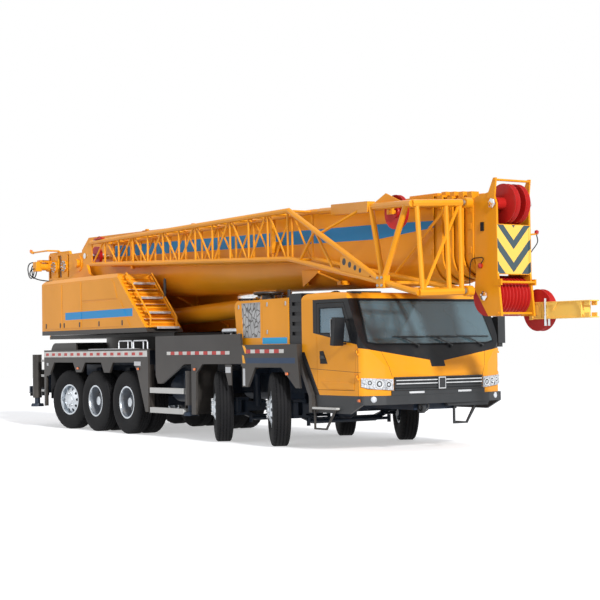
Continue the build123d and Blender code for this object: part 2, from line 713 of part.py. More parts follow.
with BuildPart() as machinery_hood:
    with BuildSketch(Plane.XZ.offset(hood_seat)) as outline:
        with BuildLine():
            Polyline((hood_rear, hood_low), (hood_rear, hood_top - 120))
            ThreePointArc((hood_rear, hood_top - 120), (hood_rear + 30, hood_top - 40), (hood_rear + 120, hood_top - 20))
            ThreePointArc((hood_rear + 120, hood_top - 20), (-900, hood_top), (780, hood_top))
            ThreePointArc((780, hood_top), (900, hood_top - 30), (1000, hood_top - 90))
            Polyline((1000, hood_top - 90), face_foot, (2210, hood_low), (hood_rear, hood_low))
        make_face()
    extrude(amount=hood_side - hood_seat)
    # The outer top edge is rounded off, and the face is sunk between two cheeks
    cross_plate([(-hood_side - 5, hood_top - 90), (-hood_side + 90, hood_top + 5), (-hood_side - 5, hood_top + 5)],
                hood_rear - 10, 2300, mode=Mode.SUBTRACT)
    side_plate([face_point(0.08, -60), face_point(0.08, 200), face_point(0.97, 200), face_point(0.97, -60)],
               -hood_side + 60, -hood_inner - 60, mode=Mode.SUBTRACT)
    for count in range(louvre_count):
        share = 0.11 + count * 0.84 / louvre_count
        side_plate([face_point(share, -70), face_point(share, -35), face_point(share + 0.035, -8),
                    face_point(share + 0.045, -18), face_point(share + 0.045, -70)], -hood_side + 50, -hood_inner - 50)
    for count in range(step_count):
        x, z = face_point(0.17 + count * 0.255, -30)
        block(x - 40, x + 190, -hood_side + 170, -hood_inner - 120, z - 16, z + 16)
    for y in (-hood_side + 130, -hood_inner - 80):
        ends = [face_point(0.04, -40), face_point(0.08, 110), face_point(0.86, 130), face_point(0.93, -40)]
        for (x_a, z_a), (x_b, z_b) in zip(ends, ends[1:]):
            bar((x_a, y, z_a), (x_b, y, z_b), 18)
        for x, z in ends[1:3]:
            with Locations((x, y, z)):
                Sphere(18.5)
    # Left hood, behind the operator's cab
    side_plate([(hood_rear, hood_low), (hood_rear, hood_top - 120), (hood_rear + 120, hood_top), (600, hood_top),
                (600, hood_low)], hood_side, hood_seat)
    cross_plate([(hood_side + 5, hood_top - 90), (hood_side - 90, hood_top + 5), (hood_side + 5, hood_top + 5)],
                hood_rear - 10, 700, mode=Mode.SUBTRACT)
keep("hoods", machinery_hood.part)

# Crane operator's cab, on the left
with BuildPart() as operator_cab:
    side_plate([(700, hood_low), (700, 3350), (800, 3450), (1900, 3450), (2350, 2800), (2350, 2300), (2100, hood_low)],
               hood_inner + 10, hood_side)
    side_plate([(750, hood_low + 50), (750, 3330), (820, 3400), (1870, 3400), (2300, 2780), (2300, 2320),
                (2080, hood_low + 50)], hood_inner + 60, hood_side - 50, mode=Mode.SUBTRACT)
    cross_plate([(hood_inner + 80, 2500), (hood_side - 70, 2500), (hood_side - 70, 3300), (hood_inner + 80, 3300)],
                1800, 2500, mode=Mode.SUBTRACT)
    side_plate([(900, 2060), (1750, 2060), (1750, 3320), (900, 3320)], hood_side - 60, hood_side + 10,
               mode=Mode.SUBTRACT)
    # Runner of the sliding door
    block(100, 701, hood_side + seat_gap, hood_side + 50, 2005, 2039.7)
    block(700, 1800, hood_side - 5, hood_side + 50, 2005, 2039.7)
keep("operator_cab", operator_cab.part)

with BuildPart() as operator_glass:
    cross_plate([(hood_inner + 80.3, 2500.3), (hood_side - 70.3, 2500.3), (hood_side - 70.3, 3299.7),
                 (hood_inner + 80.3, 3299.7)], 1800, 2500)
    side_plate([(1885, 3420), (2320, 2795), (2305, 2784), (1870, 3410)], hood_inner, hood_side, mode=Mode.INTERSECT)
keep("operator_glass", operator_glass.part)

with BuildPart() as operator_door:
    side_plate([(870, 2040), (1780, 2040), (1780, 3340), (870, 3340)], hood_side + 6, hood_side + 46)
    side_plate([(950, 2500), (1700, 2500), (1700, 3260), (950, 3260)], hood_side + 5, hood_side + 50,
               mode=Mode.SUBTRACT)
keep("operator_door", operator_door.part)

with BuildPart() as operator_seat:
    block(1100, 1550, 800, 1250, hood_low + 50 + seat_gap, 2500)
    block(1050, 1160, 800, 1250, 2500, 3050)
keep("operator_seat", operator_seat.part)

with BuildPart() as counterweight:
    block(-3850, -2700, -555, 555, platform_low + 60 + seat_gap, 2900)
    # Rounded slab hung on the rear
    with BuildSketch(Plane.XY.offset(platform_low)):
        with BuildLine():
            Polyline((-3900.3, 620), (-3900.3, -620), (-3950, -620))
            ThreePointArc((-3950, -620), (-3980, 0), (-3950, 620))
            Line((-3950, 620), (-3900.3, 620))
        make_face()
    extrude(amount=3150 - platform_low)
keep("counterweight", counterweight.part)

for name, x, radius in winch_table:
    with BuildPart() as winch:
        turned([(-645, 0), (-645, 60), (-winch_half_width - 40, 60), (-winch_half_width - 40, radius + 45),
                (-winch_half_width, radius + 45), (-winch_half_width, radius),
                (winch_half_width, radius), (winch_half_width, radius + 45),
                (winch_half_width + 40, radius + 45), (winch_half_width + 40, 60), (645, 60), (645, 0)],
               x, winch_z)
    keep(name, winch.part)

# Boom. Each section is a U-bottomed tube along the boom's own direction.
boom_direction = Vector(cos(radians(boom_slope)), 0, -sin(radians(boom_slope)))
boom_up = Vector(sin(radians(boom_slope)), 0, cos(radians(boom_slope)))


def boom_point(along, up, y=0):
    """A point in the boom's own frame, measured from its foot pin."""
    place = Vector(boom_pivot_x, 0, boom_pivot_z) + boom_direction * along + boom_up * up
    return (place.X, y, place.Z)


def boom_plane(along):
    return Plane(origin=boom_point(along, 0), x_dir=(0, 1, 0), z_dir=boom_direction)


def section_tube(along_a, along_b, half_width, above, below, mode=Mode.ADD):
    """A length of U-bottomed section: flat top, straight sides and a half-round bottom."""
    with BuildSketch(boom_plane(along_a)) as outline:
        with BuildLine():
            Polyline((-half_width, -below + half_width), (-half_width, above), (half_width, above),
                     (half_width, -below + half_width))
            ThreePointArc((half_width, -below + half_width), (0, -below), (-half_width, -below + half_width))
        make_face()
    extrude(outline.sketch, amount=along_b - along_a, mode=mode)



def boom_plate(points, y_a, y_b, mode=Mode.ADD):
    """A side plate given in the boom's own frame: (along, up) corners."""
    side_plate([(boom_point(along, up)[0], boom_point(along, up)[2]) for along, up in points], y_a, y_b, mode)


def foot_corner(shift):
    """What is cut off the boom's upper rear corner, so that it swings past the winches."""
    return [(-230, 270 + shift), (-230, 700), (260, 700), (210, 606 + shift)]


# Boom head: two side plates, the front plate between them, and the pins of the sheaves
lug_inner = 130
head_half = 335
head_plate = 35
head_start = boom_base_length + (boom_sections - 1) * section_collar - 100
top_sheave_at = (13330, 359)
low_sheave_at = (13140, -989)
head_pin_radius = 55
section_names = ["boom_base", "boom_section_2", "boom_section_3", "boom_section_4", "boom_head_section"]
rear_of_section = 1200
for index, name in enumerate(section_names):
    inset = index * section_step
    half = boom_half_width - inset
    above = boom_height_above - inset
    below = boom_height_below - inset
    start = -190 if index == 0 else rear_of_section + index * 60
    end = boom_base_length + index * section_collar
    with BuildPart() as section:
        section_tube(start, end, half, above, below)
        if index > 0:
            slack = section_step - section_wall - seat_gap
            section_tube(start, start + shoe_length, half + slack, above + slack, below + slack)
            section_tube(end - 120, end, half + slack, above + slack, below + slack)
        if index == 0:
            # Bosses of the foot pin, and the lugs of the lift cylinder's eye under the boom
            bar((boom_pivot_x, -535, boom_pivot_z), (boom_pivot_x, 535, boom_pivot_z), boom_pin_radius + 60)
            for side_name, side in both_sides():
                boom_plate([(6500, -below + 100), (6500, -below + 60), (6760, -1110), (7040, -1110),
                            (7300, -below + 60), (7300, -below + 100)], side * lug_inner, side * (lug_inner + 50))
        with BuildPart(mode=Mode.PRIVATE) as inside:
            section_tube(start - 10, end + 10, half - section_wall, above - section_wall, below - section_wall)
            if index == 0:
                boom_plate(foot_corner(-12), -boom_half_width, boom_half_width, mode=Mode.SUBTRACT)
        add(inside.part, mode=Mode.SUBTRACT)
        if index == 0:
            section_tube(start + 20, start + 80, half - 4, above - 4, below - 4)
            boom_plate(foot_corner(0), -boom_half_width - 10, boom_half_width + 10, mode=Mode.SUBTRACT)
            for side_name, side in both_sides():
                bar((boom_pivot_x, side * 448, boom_pivot_z), (boom_pivot_x, side * 700, boom_pivot_z),
                    boom_pin_radius)
            bar((lift_eye_x, -lug_inner - 60, lift_eye_z), (lift_eye_x, lug_inner + 60, lift_eye_z), lift_pin_radius)
        if index == boom_sections - 1:
            for side_name, side in both_sides():
                boom_plate([(head_start, 440), (13060, 500), (13230, 528), (13340, 490), (13400, 358), (13420, -680),
                            (13500, -1290), (13210, -1290), (12910, -880), (12960, -570), (head_start, 50)],
                           side * (head_half - head_plate), side * head_half)
            boom_plate([(13385, -680), (13385, 55), (13400, 55), (13400, -680)], -head_half, head_half)
            for along, up in (top_sheave_at, low_sheave_at):
                x, _, z = boom_point(along, up)
                bar((x, -head_half - 10, z), (x, head_half + 10, z), head_pin_radius)
            # Rope guards over the top and in front of the lower sheaves
            for along, up in ((13380, 700), (13485, -795), (13440, -1250)):
                x, _, z = boom_point(along, up)
                bar((x, -head_half - 15, z), (x, head_half + 15, z), 18)
            for side_name, side in both_sides():
                boom_plate([(13200, 450), (13350, 730), (13410, 730), (13370, 420)],
                           side * (head_half - 15), side * (head_half + 10))
                boom_plate([(13350, -750), (13350, -840), (13510, -840), (13510, -750)],
                           side * (head_half - 15), side * (head_half + 10))
    keep(name, section.part)


def sheave(x, z, y_low, y_high, radius, bore):
    """One grooved rope wheel."""
    mid = (y_low + y_high) / 2
    turned([(y_low, bore), (y_low, radius), (y_low + 8, radius), (mid, radius - 45), (y_high - 8, radius),
            (y_high, radius), (y_high, bore)], x, z)


top_x, _, top_z = boom_point(*top_sheave_at)
low_x, _, low_z = boom_point(*low_sheave_at)
bore = head_pin_radius + running_gap
with BuildPart() as top_sheaves:
    for y in (-150, 45):
        sheave(top_x, top_z, y, y + 90, head_sheave_radius - 5, bore)
    turned([(-60, bore), (-60, 100), (45, 100), (45, bore)], top_x, top_z)
    turned([(-299.7, bore), (-299.7, 90), (-150, 90), (-150, bore)], top_x, top_z)
    turned([(135, bore), (135, 90), (299.7, 90), (299.7, bore)], top_x, top_z)
keep("top_sheaves", top_sheaves.part)

with BuildPart() as lower_sheaves:
    for count in range(9):
        y = -297 + count * 66
        sheave(low_x, low_z, y, y + 66, head_sheave_radius, bore)
keep("lower_sheaves", lower_sheaves.part)

# Auxiliary nose, pinned to the left of the head, with its own sheave
aux_x = 11060
aux_z = 2135
with BuildPart() as auxiliary_nose:
    for y in (362, 498):
        side_plate([(10930, 2000), (10930, 2260), (12420, 2240), (12420, 2000)], y, y + 20)
    block(12400, 12440, 355, 525, 1990, 2250)
    block(11500, 12400, 362, 518, 2230, 2245)
    bar((aux_x, 365, aux_z), (aux_x, 515, aux_z), head_pin_radius)
    block(10940, 11000, 335.3, 363, 1990, 2270)
keep("auxiliary_nose", auxiliary_nose.part)
with BuildPart() as auxiliary_sheave:
    sheave(aux_x, aux_z, 388, 492, 310, bore)
keep("auxiliary_sheave", auxiliary_sheave.part)

# Lift cylinder between its lugs on the platform and the boom's underside
lift_angle = atan2(lift_eye_z - lift_base_z, lift_eye_x - lift_base_x)
lift_length = hypot(lift_eye_z - lift_base_z, lift_eye_x - lift_base_x)


def lift_point(along, y=0):
    return (lift_base_x + along * cos(lift_angle), y, lift_base_z + along * sin(lift_angle))


with BuildPart() as lift_barrel:
    bar((lift_base_x, -150, lift_base_z), (lift_base_x, 150, lift_base_z), 120)
    bar(lift_point(0), lift_point(lift_length - 320), lift_barrel_radius)
    bar(lift_point(260), lift_point(lift_length - 310), lift_rod_radius + running_gap, mode=Mode.SUBTRACT)
    bar((lift_base_x, -190, lift_base_z), (lift_base_x, 190, lift_base_z), lift_pin_radius + running_gap,
        mode=Mode.SUBTRACT)
keep("lift_barrel", lift_barrel.part)
with BuildPart() as lift_rod:
    bar(lift_point(270), lift_point(lift_length), lift_rod_radius)
    bar((lift_eye_x, -120, lift_eye_z), (lift_eye_x, 120, lift_eye_z), 130)
    bar((lift_eye_x, -160, lift_eye_z), (lift_eye_x, 160, lift_eye_z), lift_pin_radius + running_gap,
        mode=Mode.SUBTRACT)
keep("lift_rod", lift_rod.part)

# Lattice jib, stowed along the right of the base section: a straight truss that widens into its root frame
jib_tip_x = -800
jib_bend_x = 6700
jib_outer = -1100
jib_inner = -600
jib_bays = 12
chord_radius = 45
lace_radius = 20
jib_root_x = 10550
root_inner = -520
root_outer = -1410
# The root's own corners: foot of the posts outside, and the four corners of the pinned frame
jib_knuckle = (9650, -1390, 2590)
root_top_inner = (jib_root_x, root_inner, 3730)
root_top_outer = (10400, root_outer, 3700)
root_low_inner = (jib_root_x, root_inner, 2430)
root_low_outer = (10460, -1360, 2400)


def jib_corner(x, outer, top):
    """A point of the straight truss's four chords."""
    share = (x - jib_tip_x) / (jib_bend_x - jib_tip_x)
    z = 3880 + share * 40 if top else 3430 - share * 320
    return (x, jib_outer if outer else jib_inner, z)


def between(start, end, share):
    """The point a share of the way along a line."""
    return tuple(a + (b - a) * share for a, b in zip(start, end))


with BuildPart() as jib:
    # Chords
    for outer in (True, False):
        for top in (True, False):
            faceted_bar(jib_corner(jib_tip_x, outer, top), jib_corner(jib_bend_x + 10, outer, top), chord_radius, 8)
    # Posts and diagonals of the straight truss
    bay = (jib_bend_x - jib_tip_x - 80) / jib_bays
    for count in range(jib_bays + 1):
        x = jib_tip_x + 40 + count * bay
        for outer in (True, False):
            faceted_bar(jib_corner(x, outer, True), jib_corner(x, outer, False), lace_radius, 6)
        for top in (True, False):
            faceted_bar(jib_corner(x, True, top), jib_corner(x, False, top), lace_radius, 6)
        if count < jib_bays:
            rising = count % 2 == 0
            for outer in (True, False):
                faceted_bar(jib_corner(x + 45, outer, not rising), jib_corner(x + bay - 45, outer, rising),
                            lace_radius - 2, 6)
            for top in (True, False):
                faceted_bar(jib_corner(x + 45, rising, top), jib_corner(x + bay - 45, not rising, top),
                            lace_radius - 2, 6)
    # Root: outer chords run down to the knuckle, inner ones straight on to the frame
    bend_top_outer = jib_corner(jib_bend_x, True, True)
    bend_low_outer = jib_corner(jib_bend_x, True, False)
    bend_top_inner = jib_corner(jib_bend_x, False, True)
    bend_low_inner = jib_corner(jib_bend_x, False, False)
    faceted_bar(bend_top_outer, jib_knuckle, chord_radius, 8)
    faceted_bar(bend_low_outer, jib_knuckle, chord_radius, 8)
    faceted_bar(bend_top_inner, root_top_inner, chord_radius, 8)
    faceted_bar(bend_low_inner, root_low_inner, chord_radius, 8)
    faceted_bar(between(bend_top_inner, root_top_inner, 0.05), root_top_outer, chord_radius + 8, 8)
    faceted_bar(root_low_outer, jib_knuckle, chord_radius, 8)
    # Frame that is pinned to the boom head, its posts and braces
    faceted_bar(root_top_inner, root_top_outer, chord_radius + 12, 8)
    faceted_bar(root_low_inner, root_low_outer, chord_radius + 12, 8)
    for share in (0.12, 0.38, 0.92):
        faceted_bar(between(root_top_inner, root_top_outer, share), between(root_low_inner, root_low_outer, share),
                    38, 8)
    faceted_bar(between(root_top_inner, root_top_outer, 0.12), between(root_low_inner, root_low_outer, 0.92), 25, 6)
    faceted_bar(jib_knuckle, between(bend_top_inner, root_top_outer, 0.62), chord_radius, 8)
    faceted_bar(jib_knuckle, between(bend_top_inner, root_top_outer, 0.95), chord_radius, 8)
    faceted_bar(jib_knuckle, between(bend_low_inner, root_low_inner, 0.78), lace_radius + 5, 6)
    faceted_bar(between(jib_knuckle, root_low_outer, 0.6), between(bend_low_inner, root_low_inner, 0.95),
                lace_radius + 5, 6)
    faceted_bar(between(bend_top_inner, root_top_inner, 0.55), between(bend_top_inner, root_top_outer, 0.6),
                lace_radius + 5, 6)
    faceted_bar(between(bend_top_inner, root_top_inner, 0.9), between(bend_low_inner, root_low_inner, 0.55),
                lace_radius + 5, 6)
    faceted_bar(between(bend_top_outer, jib_knuckle, 0.3), between(bend_low_outer, jib_knuckle, 0.12),
                lace_radius + 5, 6)
    faceted_bar(between(bend_top_outer, jib_knuckle, 0.3), between(bend_low_outer, jib_knuckle, 0.5),
                lace_radius + 5, 6)
    faceted_bar(between(bend_top_outer, jib_knuckle, 0.35), between(bend_top_inner, root_top_outer, 0.55),
                lace_radius + 5, 6)
    # Box sleeve on the long upper chord, and the holed gusset at the knuckle
    sleeve_start = between(bend_top_inner, root_top_outer, 0.24)
    sleeve_end = between(bend_top_inner, root_top_outer, 0.62)
    with BuildSketch(Plane(origin=sleeve_start, x_dir=(0, 0, 1), z_dir=Vector(*sleeve_end) - Vector(*sleeve_start))):
        Rectangle(170, 130)
    extrude(amount=(Vector(*sleeve_end) - Vector(*sleeve_start)).length)
    # Knuckle block and the eyes that the boom head's pins would take
    block(9560, 9740, -1450, -1330, 2500, 2690)
    for x, y, z in (root_top_inner, root_low_inner):
        bar((x + 20, y - 60, z), (x + 20, y + 60, z), 80)
    # Tip plates with the holes of the tip sheave
    for y in (jib_outer - 20, jib_inner):
        side_plate([(-1140, 3480), (-1140, 3760), (-720, 3930), (-720, 3380)], y, y + 20)
        bar((-1020, y - 10, 3620), (-1020, y + 30, 3620), 60, mode=Mode.SUBTRACT)
    # Brackets that carry the jib on the base section
    for x in (80, 5400):
        block(x, x + 60, -610, -450.3, 3330, 3500)
        block(x, x + 60, -640, -560, 3300, 3930)
keep("jib", jib.part)

# Finish: the origin goes under the middle of the overall length, on the ground
front_end = max(part.bounding_box().max.X for part in pieces.values())
rear_end = min(part.bounding_box().min.X for part in pieces.values())
middle_x = (front_end + rear_end) / 2
print("overall", rear_end, front_end, "middle", middle_x)

os.makedirs("parts", exist_ok=True)
for name, part in pieces.items():
    piece = part.moved(Location((-middle_x, 0, 0)))
    piece.label = name
    export_step(piece, f"parts/{name}.step")
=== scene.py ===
# %% [markdown]
# # A five-axle truck crane with its boom down
#
# This lesson dresses an exact frame of a mobile crane. The frame already has every moving body in place, so
# each piece that we add only has to be made, painted, and told which body it rides on. We work from large
# to small: light and camera first, then paint, and then one sub-part of the crane after another.

# %% Load the frame
from math import atan2, cos, pi, radians, sin, sqrt

import bmesh
import bpy
from mathutils import Matrix, Vector


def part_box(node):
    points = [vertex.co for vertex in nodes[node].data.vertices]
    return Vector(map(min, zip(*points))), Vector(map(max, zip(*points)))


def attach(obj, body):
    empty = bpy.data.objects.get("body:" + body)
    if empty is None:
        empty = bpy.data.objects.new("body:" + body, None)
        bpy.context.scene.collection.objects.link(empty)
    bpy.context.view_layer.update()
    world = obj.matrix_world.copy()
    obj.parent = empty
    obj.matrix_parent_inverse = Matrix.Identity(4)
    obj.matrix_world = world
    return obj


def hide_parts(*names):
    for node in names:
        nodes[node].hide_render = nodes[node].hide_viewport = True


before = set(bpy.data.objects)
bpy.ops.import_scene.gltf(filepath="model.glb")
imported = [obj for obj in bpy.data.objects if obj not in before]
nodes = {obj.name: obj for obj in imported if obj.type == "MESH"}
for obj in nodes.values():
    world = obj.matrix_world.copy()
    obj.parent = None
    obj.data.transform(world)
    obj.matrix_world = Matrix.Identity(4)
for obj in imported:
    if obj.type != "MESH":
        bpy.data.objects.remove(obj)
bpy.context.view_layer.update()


def new_object(name, data):
    """An object for a mesh, lamp or camera, put into the scene at the origin."""
    made = bpy.data.objects.new(name, data)
    bpy.context.scene.collection.objects.link(made)
    return made


def set_inputs(node, values):
    """Set a node's own numbers and colours by their names."""
    for name, value in values.items():
        node.inputs[name].default_value = value


# %% [markdown]
# A crane's drawing gives lengths along the carrier from an axle, so we do as well. The fourth axle is our
# zero: its wheel's box gives its place, and `at` turns a place on the crane into a point of the frame.

# %% Measure from the fourth axle
wheel_low, wheel_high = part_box("wheel_4_right")
axle_4 = (wheel_low.x + wheel_high.x) / 2
tyre_radius = wheel_high.z / 2


def at(x, y, z):
    """A point given in metres forward of the fourth axle, to the left, and above the ground."""
    return Vector((axle_4 + x, y, z))


print("fourth axle at", round(axle_4, 3), "tyre radius", round(tyre_radius, 3))

# %% [markdown]
# ## Camera, floor and light
#
# The photograph was taken from low down, in front and to the right, with a long lens, so the crane looks
# flattened. A constraint could aim the camera at a point, but it can't make it lean. So we place it by where
# it stands and by three turns: which way it faces, how far it looks up, and how much it leans.

# %% Camera
camera_place = at(27.183, -14.691, 1.636)
facing = radians(33.9513)
looking_up = radians(1.8371)
leaning = radians(-0.8226)

forward = Vector((-cos(facing) * cos(looking_up), sin(facing) * cos(looking_up), sin(looking_up)))
level_right = forward.cross(Vector((0, 0, 1))).normalized()
level_up = level_right.cross(forward)
camera_right = level_right * cos(leaning) + level_up * sin(leaning)
camera_up = level_up * cos(leaning) - level_right * sin(leaning)

camera_data = bpy.data.cameras.new("Camera")
camera_data.sensor_width = 36
camera_data.lens = 88.6
camera_data.clip_end = 200
camera = new_object("Camera", camera_data)
camera.matrix_world = Matrix((
    (camera_right.x, camera_up.x, -forward.x, camera_place.x),
    (camera_right.y, camera_up.y, -forward.y, camera_place.y),
    (camera_right.z, camera_up.z, -forward.z, camera_place.z),
    (0, 0, 0, 1),
))
bpy.context.scene.camera = camera
print("camera", round((camera_place - at(0, 0, 0)).length, 1), "m from the fourth axle")

# %% [markdown]
# The background of the photograph is cut out to white. More light would bleach the paint as well, so the
# floor and the world are white only where the camera sees them, or sees them mirrored in paint and glass. To
# the crane itself they give plain daylight.

# %% Floor and world
def new_material(name):
    """An empty node material and its main shader."""
    material = bpy.data.materials.new(name)
    material.use_nodes = True
    shader = material.node_tree.nodes["Principled BSDF"]
    return material, material.node_tree, shader


def seen_directly(tree):
    """1 for rays from the camera, also by way of a mirror or through glass, and 0 for all others."""
    rays = tree.nodes.new("ShaderNodeLightPath")
    seen = rays.outputs["Is Camera Ray"]
    for way in ("Is Glossy Ray", "Is Transmission Ray"):
        either = tree.nodes.new("ShaderNodeMath")
        either.operation = "MAXIMUM"
        tree.links.new(seen, either.inputs[0])
        tree.links.new(rays.outputs[way], either.inputs[1])
        seen = either.outputs[0]
    return seen


floor_half = 60
floor_mesh = bpy.data.meshes.new("Floor")
floor_mesh.from_pydata([(-floor_half, -floor_half, 0), (floor_half, -floor_half, 0),
                        (floor_half, floor_half, 0), (-floor_half, floor_half, 0)], [], [(0, 1, 2, 3)])
floor = new_object("Floor", floor_mesh)
floor_material, tree, shader = new_material("Pale floor")
set_inputs(shader, {"Base Color": (0.70, 0.70, 0.71, 1), "Roughness": 0.9, "Emission Color": (1, 1, 1, 1)})
floor_lift = tree.nodes.new("ShaderNodeMath")
floor_lift.operation = "MULTIPLY"
floor_lift.inputs[1].default_value = 0.45
tree.links.new(seen_directly(tree), floor_lift.inputs[0])
tree.links.new(floor_lift.outputs[0], shader.inputs["Emission Strength"])
floor_mesh.materials.append(floor_material)

world = bpy.data.worlds.new("Studio")
bpy.context.scene.world = world
world.use_nodes = True
sky = world.node_tree.nodes["Background"]
set_inputs(sky, {"Color": (0.93, 0.95, 1.0, 1), "Strength": 0.55})
seen_sky = world.node_tree.nodes.new("ShaderNodeBackground")
set_inputs(seen_sky, {"Color": (1, 1, 1, 1), "Strength": 1.0})
seen_mix = world.node_tree.nodes.new("ShaderNodeMixShader")
world_links = world.node_tree.links
world_links.new(seen_directly(world.node_tree), seen_mix.inputs[0])
world_links.new(sky.outputs[0], seen_mix.inputs[1])
world_links.new(seen_sky.outputs[0], seen_mix.inputs[2])
world_links.new(seen_mix.outputs[0], world.node_tree.nodes["World Output"].inputs["Surface"])
print("floor", 2 * floor_half, "m wide, sky strength", sky.inputs["Strength"].default_value)

# %% [markdown]
# The sun in the photograph stands high behind the camera's left shoulder, ahead of the crane: front faces are
# bright and the side is in half shade. A sun lamp lights everything from one direction, as far light does,
# and a second one with a very wide angle opens the shadows.

# %% Lamps
def add_sun(name, direction, strength, angle):
    """A sun that shines along a direction; a wider angle gives softer shadows."""
    lamp = bpy.data.lights.new(name, "SUN")
    lamp.energy = strength
    lamp.angle = radians(angle)
    holder = new_object(name, lamp)
    holder.rotation_mode = "QUATERNION"
    holder.rotation_quaternion = Vector(direction).to_track_quat("-Z", "Y")
    print(name, strength)


add_sun("Sun", (-0.90, 0.15, -0.45), 3.5, 6)
add_sun("Side fill", (0.15, 0.90, -0.35), 0.35, 40)
bpy.context.scene.view_settings.view_transform = "Standard"

# %% [markdown]
# ## Paint and other finishes
#
# A material is a tree of nodes that turns a place on the crane into a colour and a gloss. Linking the nodes
# one by one takes many lines, so each kind of step gets a small function that returns its output. They all
# start from Object coordinates, which are metres on the crane and stay with a piece when its body moves.

# %% Helpers for node materials
def rgba(colour):
    return (*colour, 1)


def object_place(tree):
    """The X, Y and Z of a point on the crane, as three outputs."""
    place = tree.nodes.new("ShaderNodeTexCoord")
    split = tree.nodes.new("ShaderNodeSeparateXYZ")
    tree.links.new(place.outputs["Object"], split.inputs[0])
    return place.outputs["Object"], split.outputs


def noise(tree, place, scale, detail=3.0):
    node = tree.nodes.new("ShaderNodeTexNoise")
    set_inputs(node, {"Scale": scale, "Detail": detail})
    tree.links.new(place, node.inputs["Vector"])
    return node.outputs["Fac"]


def spread(tree, value, low, high, to_low=0.0, to_high=1.0):
    """Stretch the part of a value between low and high over a new range."""
    node = tree.nodes.new("ShaderNodeMapRange")
    set_inputs(node, {"From Min": low, "From Max": high, "To Min": to_low, "To Max": to_high})
    tree.links.new(value, node.inputs["Value"])
    return node.outputs["Result"]


def arithmetic(tree, operation, first, second):
    node = tree.nodes.new("ShaderNodeMath")
    node.operation = operation
    for socket, value in zip(node.inputs, (first, second)):
        if isinstance(value, (int, float)):
            socket.default_value = value
        else:
            tree.links.new(value, socket)
    return node.outputs[0]


def above(tree, value, level):
    """1 where a value is greater than a level, and 0 elsewhere."""
    return arithmetic(tree, "GREATER_THAN", value, level)


def below(tree, value, level):
    return arithmetic(tree, "LESS_THAN", value, level)


def within(tree, value, low, high):
    return arithmetic(tree, "MULTIPLY", above(tree, value, low), below(tree, value, high))


def mix_colour(tree, factor, first, second):
    node = tree.nodes.new("ShaderNodeMix")
    node.data_type = "RGBA"
    if isinstance(factor, (int, float)):
        node.inputs["Factor"].default_value = factor
    else:
        tree.links.new(factor, node.inputs["Factor"])
    for socket, value in ((node.inputs[6], first), (node.inputs[7], second)):
        if isinstance(value, tuple):
            socket.default_value = rgba(value)
        else:
            tree.links.new(value, socket)
    return node.outputs[2]


def add_bump(tree, shader, height, strength, distance):
    bump = tree.nodes.new("ShaderNodeBump")
    set_inputs(bump, {"Strength": strength, "Distance": distance})
    tree.links.new(height, bump.inputs["Height"])
    tree.links.new(bump.outputs[0], shader.inputs["Normal"])


# %% [markdown]
# Machine paint is never one flat colour. Dust settles low down, sun bleaches it in soft patches, and the
# surface has the faint ripple of sprayed enamel. A painted image could hold all that, but every panel would
# have to be unwrapped for it. One function mixes the three from noise instead, so all the panels age alike.

# %% Sprayed paint
dust = (0.30, 0.25, 0.19)


def sprayed(name, colour, roughness=0.34, coat=0.06, dusty=0.18, stripes=()):
    """Enamel with soft fading, dust that gathers low down, and any number of (mask, colour) stripes on it."""
    material, tree, shader = new_material(name)
    place, (x, y, z) = object_place(tree)
    faded = tuple(min(1, c * 1.12 + 0.01) for c in colour)
    painted = mix_colour(tree, spread(tree, noise(tree, place, 0.8), 0.35, 0.7), colour, faded)
    for mask, stripe in stripes:
        painted = mix_colour(tree, mask(tree, x, y, z), painted, stripe)
    low_down = spread(tree, z, 1.8, 0.2)
    grime = arithmetic(tree, "MULTIPLY", spread(tree, noise(tree, place, 5.0, 6.0), 0.42, 0.75), low_down)
    speckle = spread(tree, noise(tree, place, 2.2, 5.0), 0.55, 0.85, 0, 0.35)
    grime = arithmetic(tree, "MAXIMUM", grime, speckle)
    grime = arithmetic(tree, "MULTIPLY", grime, dusty)
    painted = mix_colour(tree, grime, painted, dust)
    tree.links.new(painted, shader.inputs["Base Color"])
    tree.links.new(arithmetic(tree, "ADD", roughness, arithmetic(tree, "MULTIPLY", grime, 0.8)),
                   shader.inputs["Roughness"])
    set_inputs(shader, {"Coat Weight": coat, "Coat Roughness": 0.12, "Specular IOR Level": 0.22})
    add_bump(tree, shader, noise(tree, place, 60.0, 2.0), 0.12, 0.002)
    return material


crane_yellow = (0.74, 0.285, 0.006)
stripe_blue = (0.008, 0.22, 0.50)
carrier_grey = (0.034, 0.030, 0.027)
carrier_navy = (0.010, 0.020, 0.038)
trim_black = (0.008, 0.009, 0.011)
rope_wheel_red = (0.42, 0.008, 0.006)

yellow_paint = sprayed("Yellow enamel", crane_yellow)
navy_paint = sprayed("Carrier dark blue", carrier_navy, roughness=0.5, coat=0.1, dusty=0.10)
red_paint = sprayed("Rope wheel red", rope_wheel_red, roughness=0.42, coat=0.15, dusty=0.1)
print("plain paints:", yellow_paint.name, navy_paint.name, red_paint.name)

# %% [markdown]
# The stripes on the hood and the boom and the black of the cab are sprayed on, so they belong to the paint
# and not to a piece of their own. A mask is 1 where its stripe is and 0 elsewhere. Every mask takes the same
# four things, so that one function can call them all, and its numbers are metres on the crane.

# %% Striped paints
hood_low_edge = 2.06


def below_line(tree, x, z, start, end):
    """1 under the line through two (x, z) places, given in metres from the fourth axle."""
    slope = (end[1] - start[1]) / (end[0] - start[0])
    level = arithmetic(tree, "MULTIPLY", arithmetic(tree, "SUBTRACT", x, axle_4 + start[0]), slope)
    return below(tree, arithmetic(tree, "SUBTRACT", z, level), start[1])


def all_of(tree, *masks):
    result = masks[0]
    for mask in masks[1:]:
        result = arithmetic(tree, "MULTIPLY", result, mask)
    return result


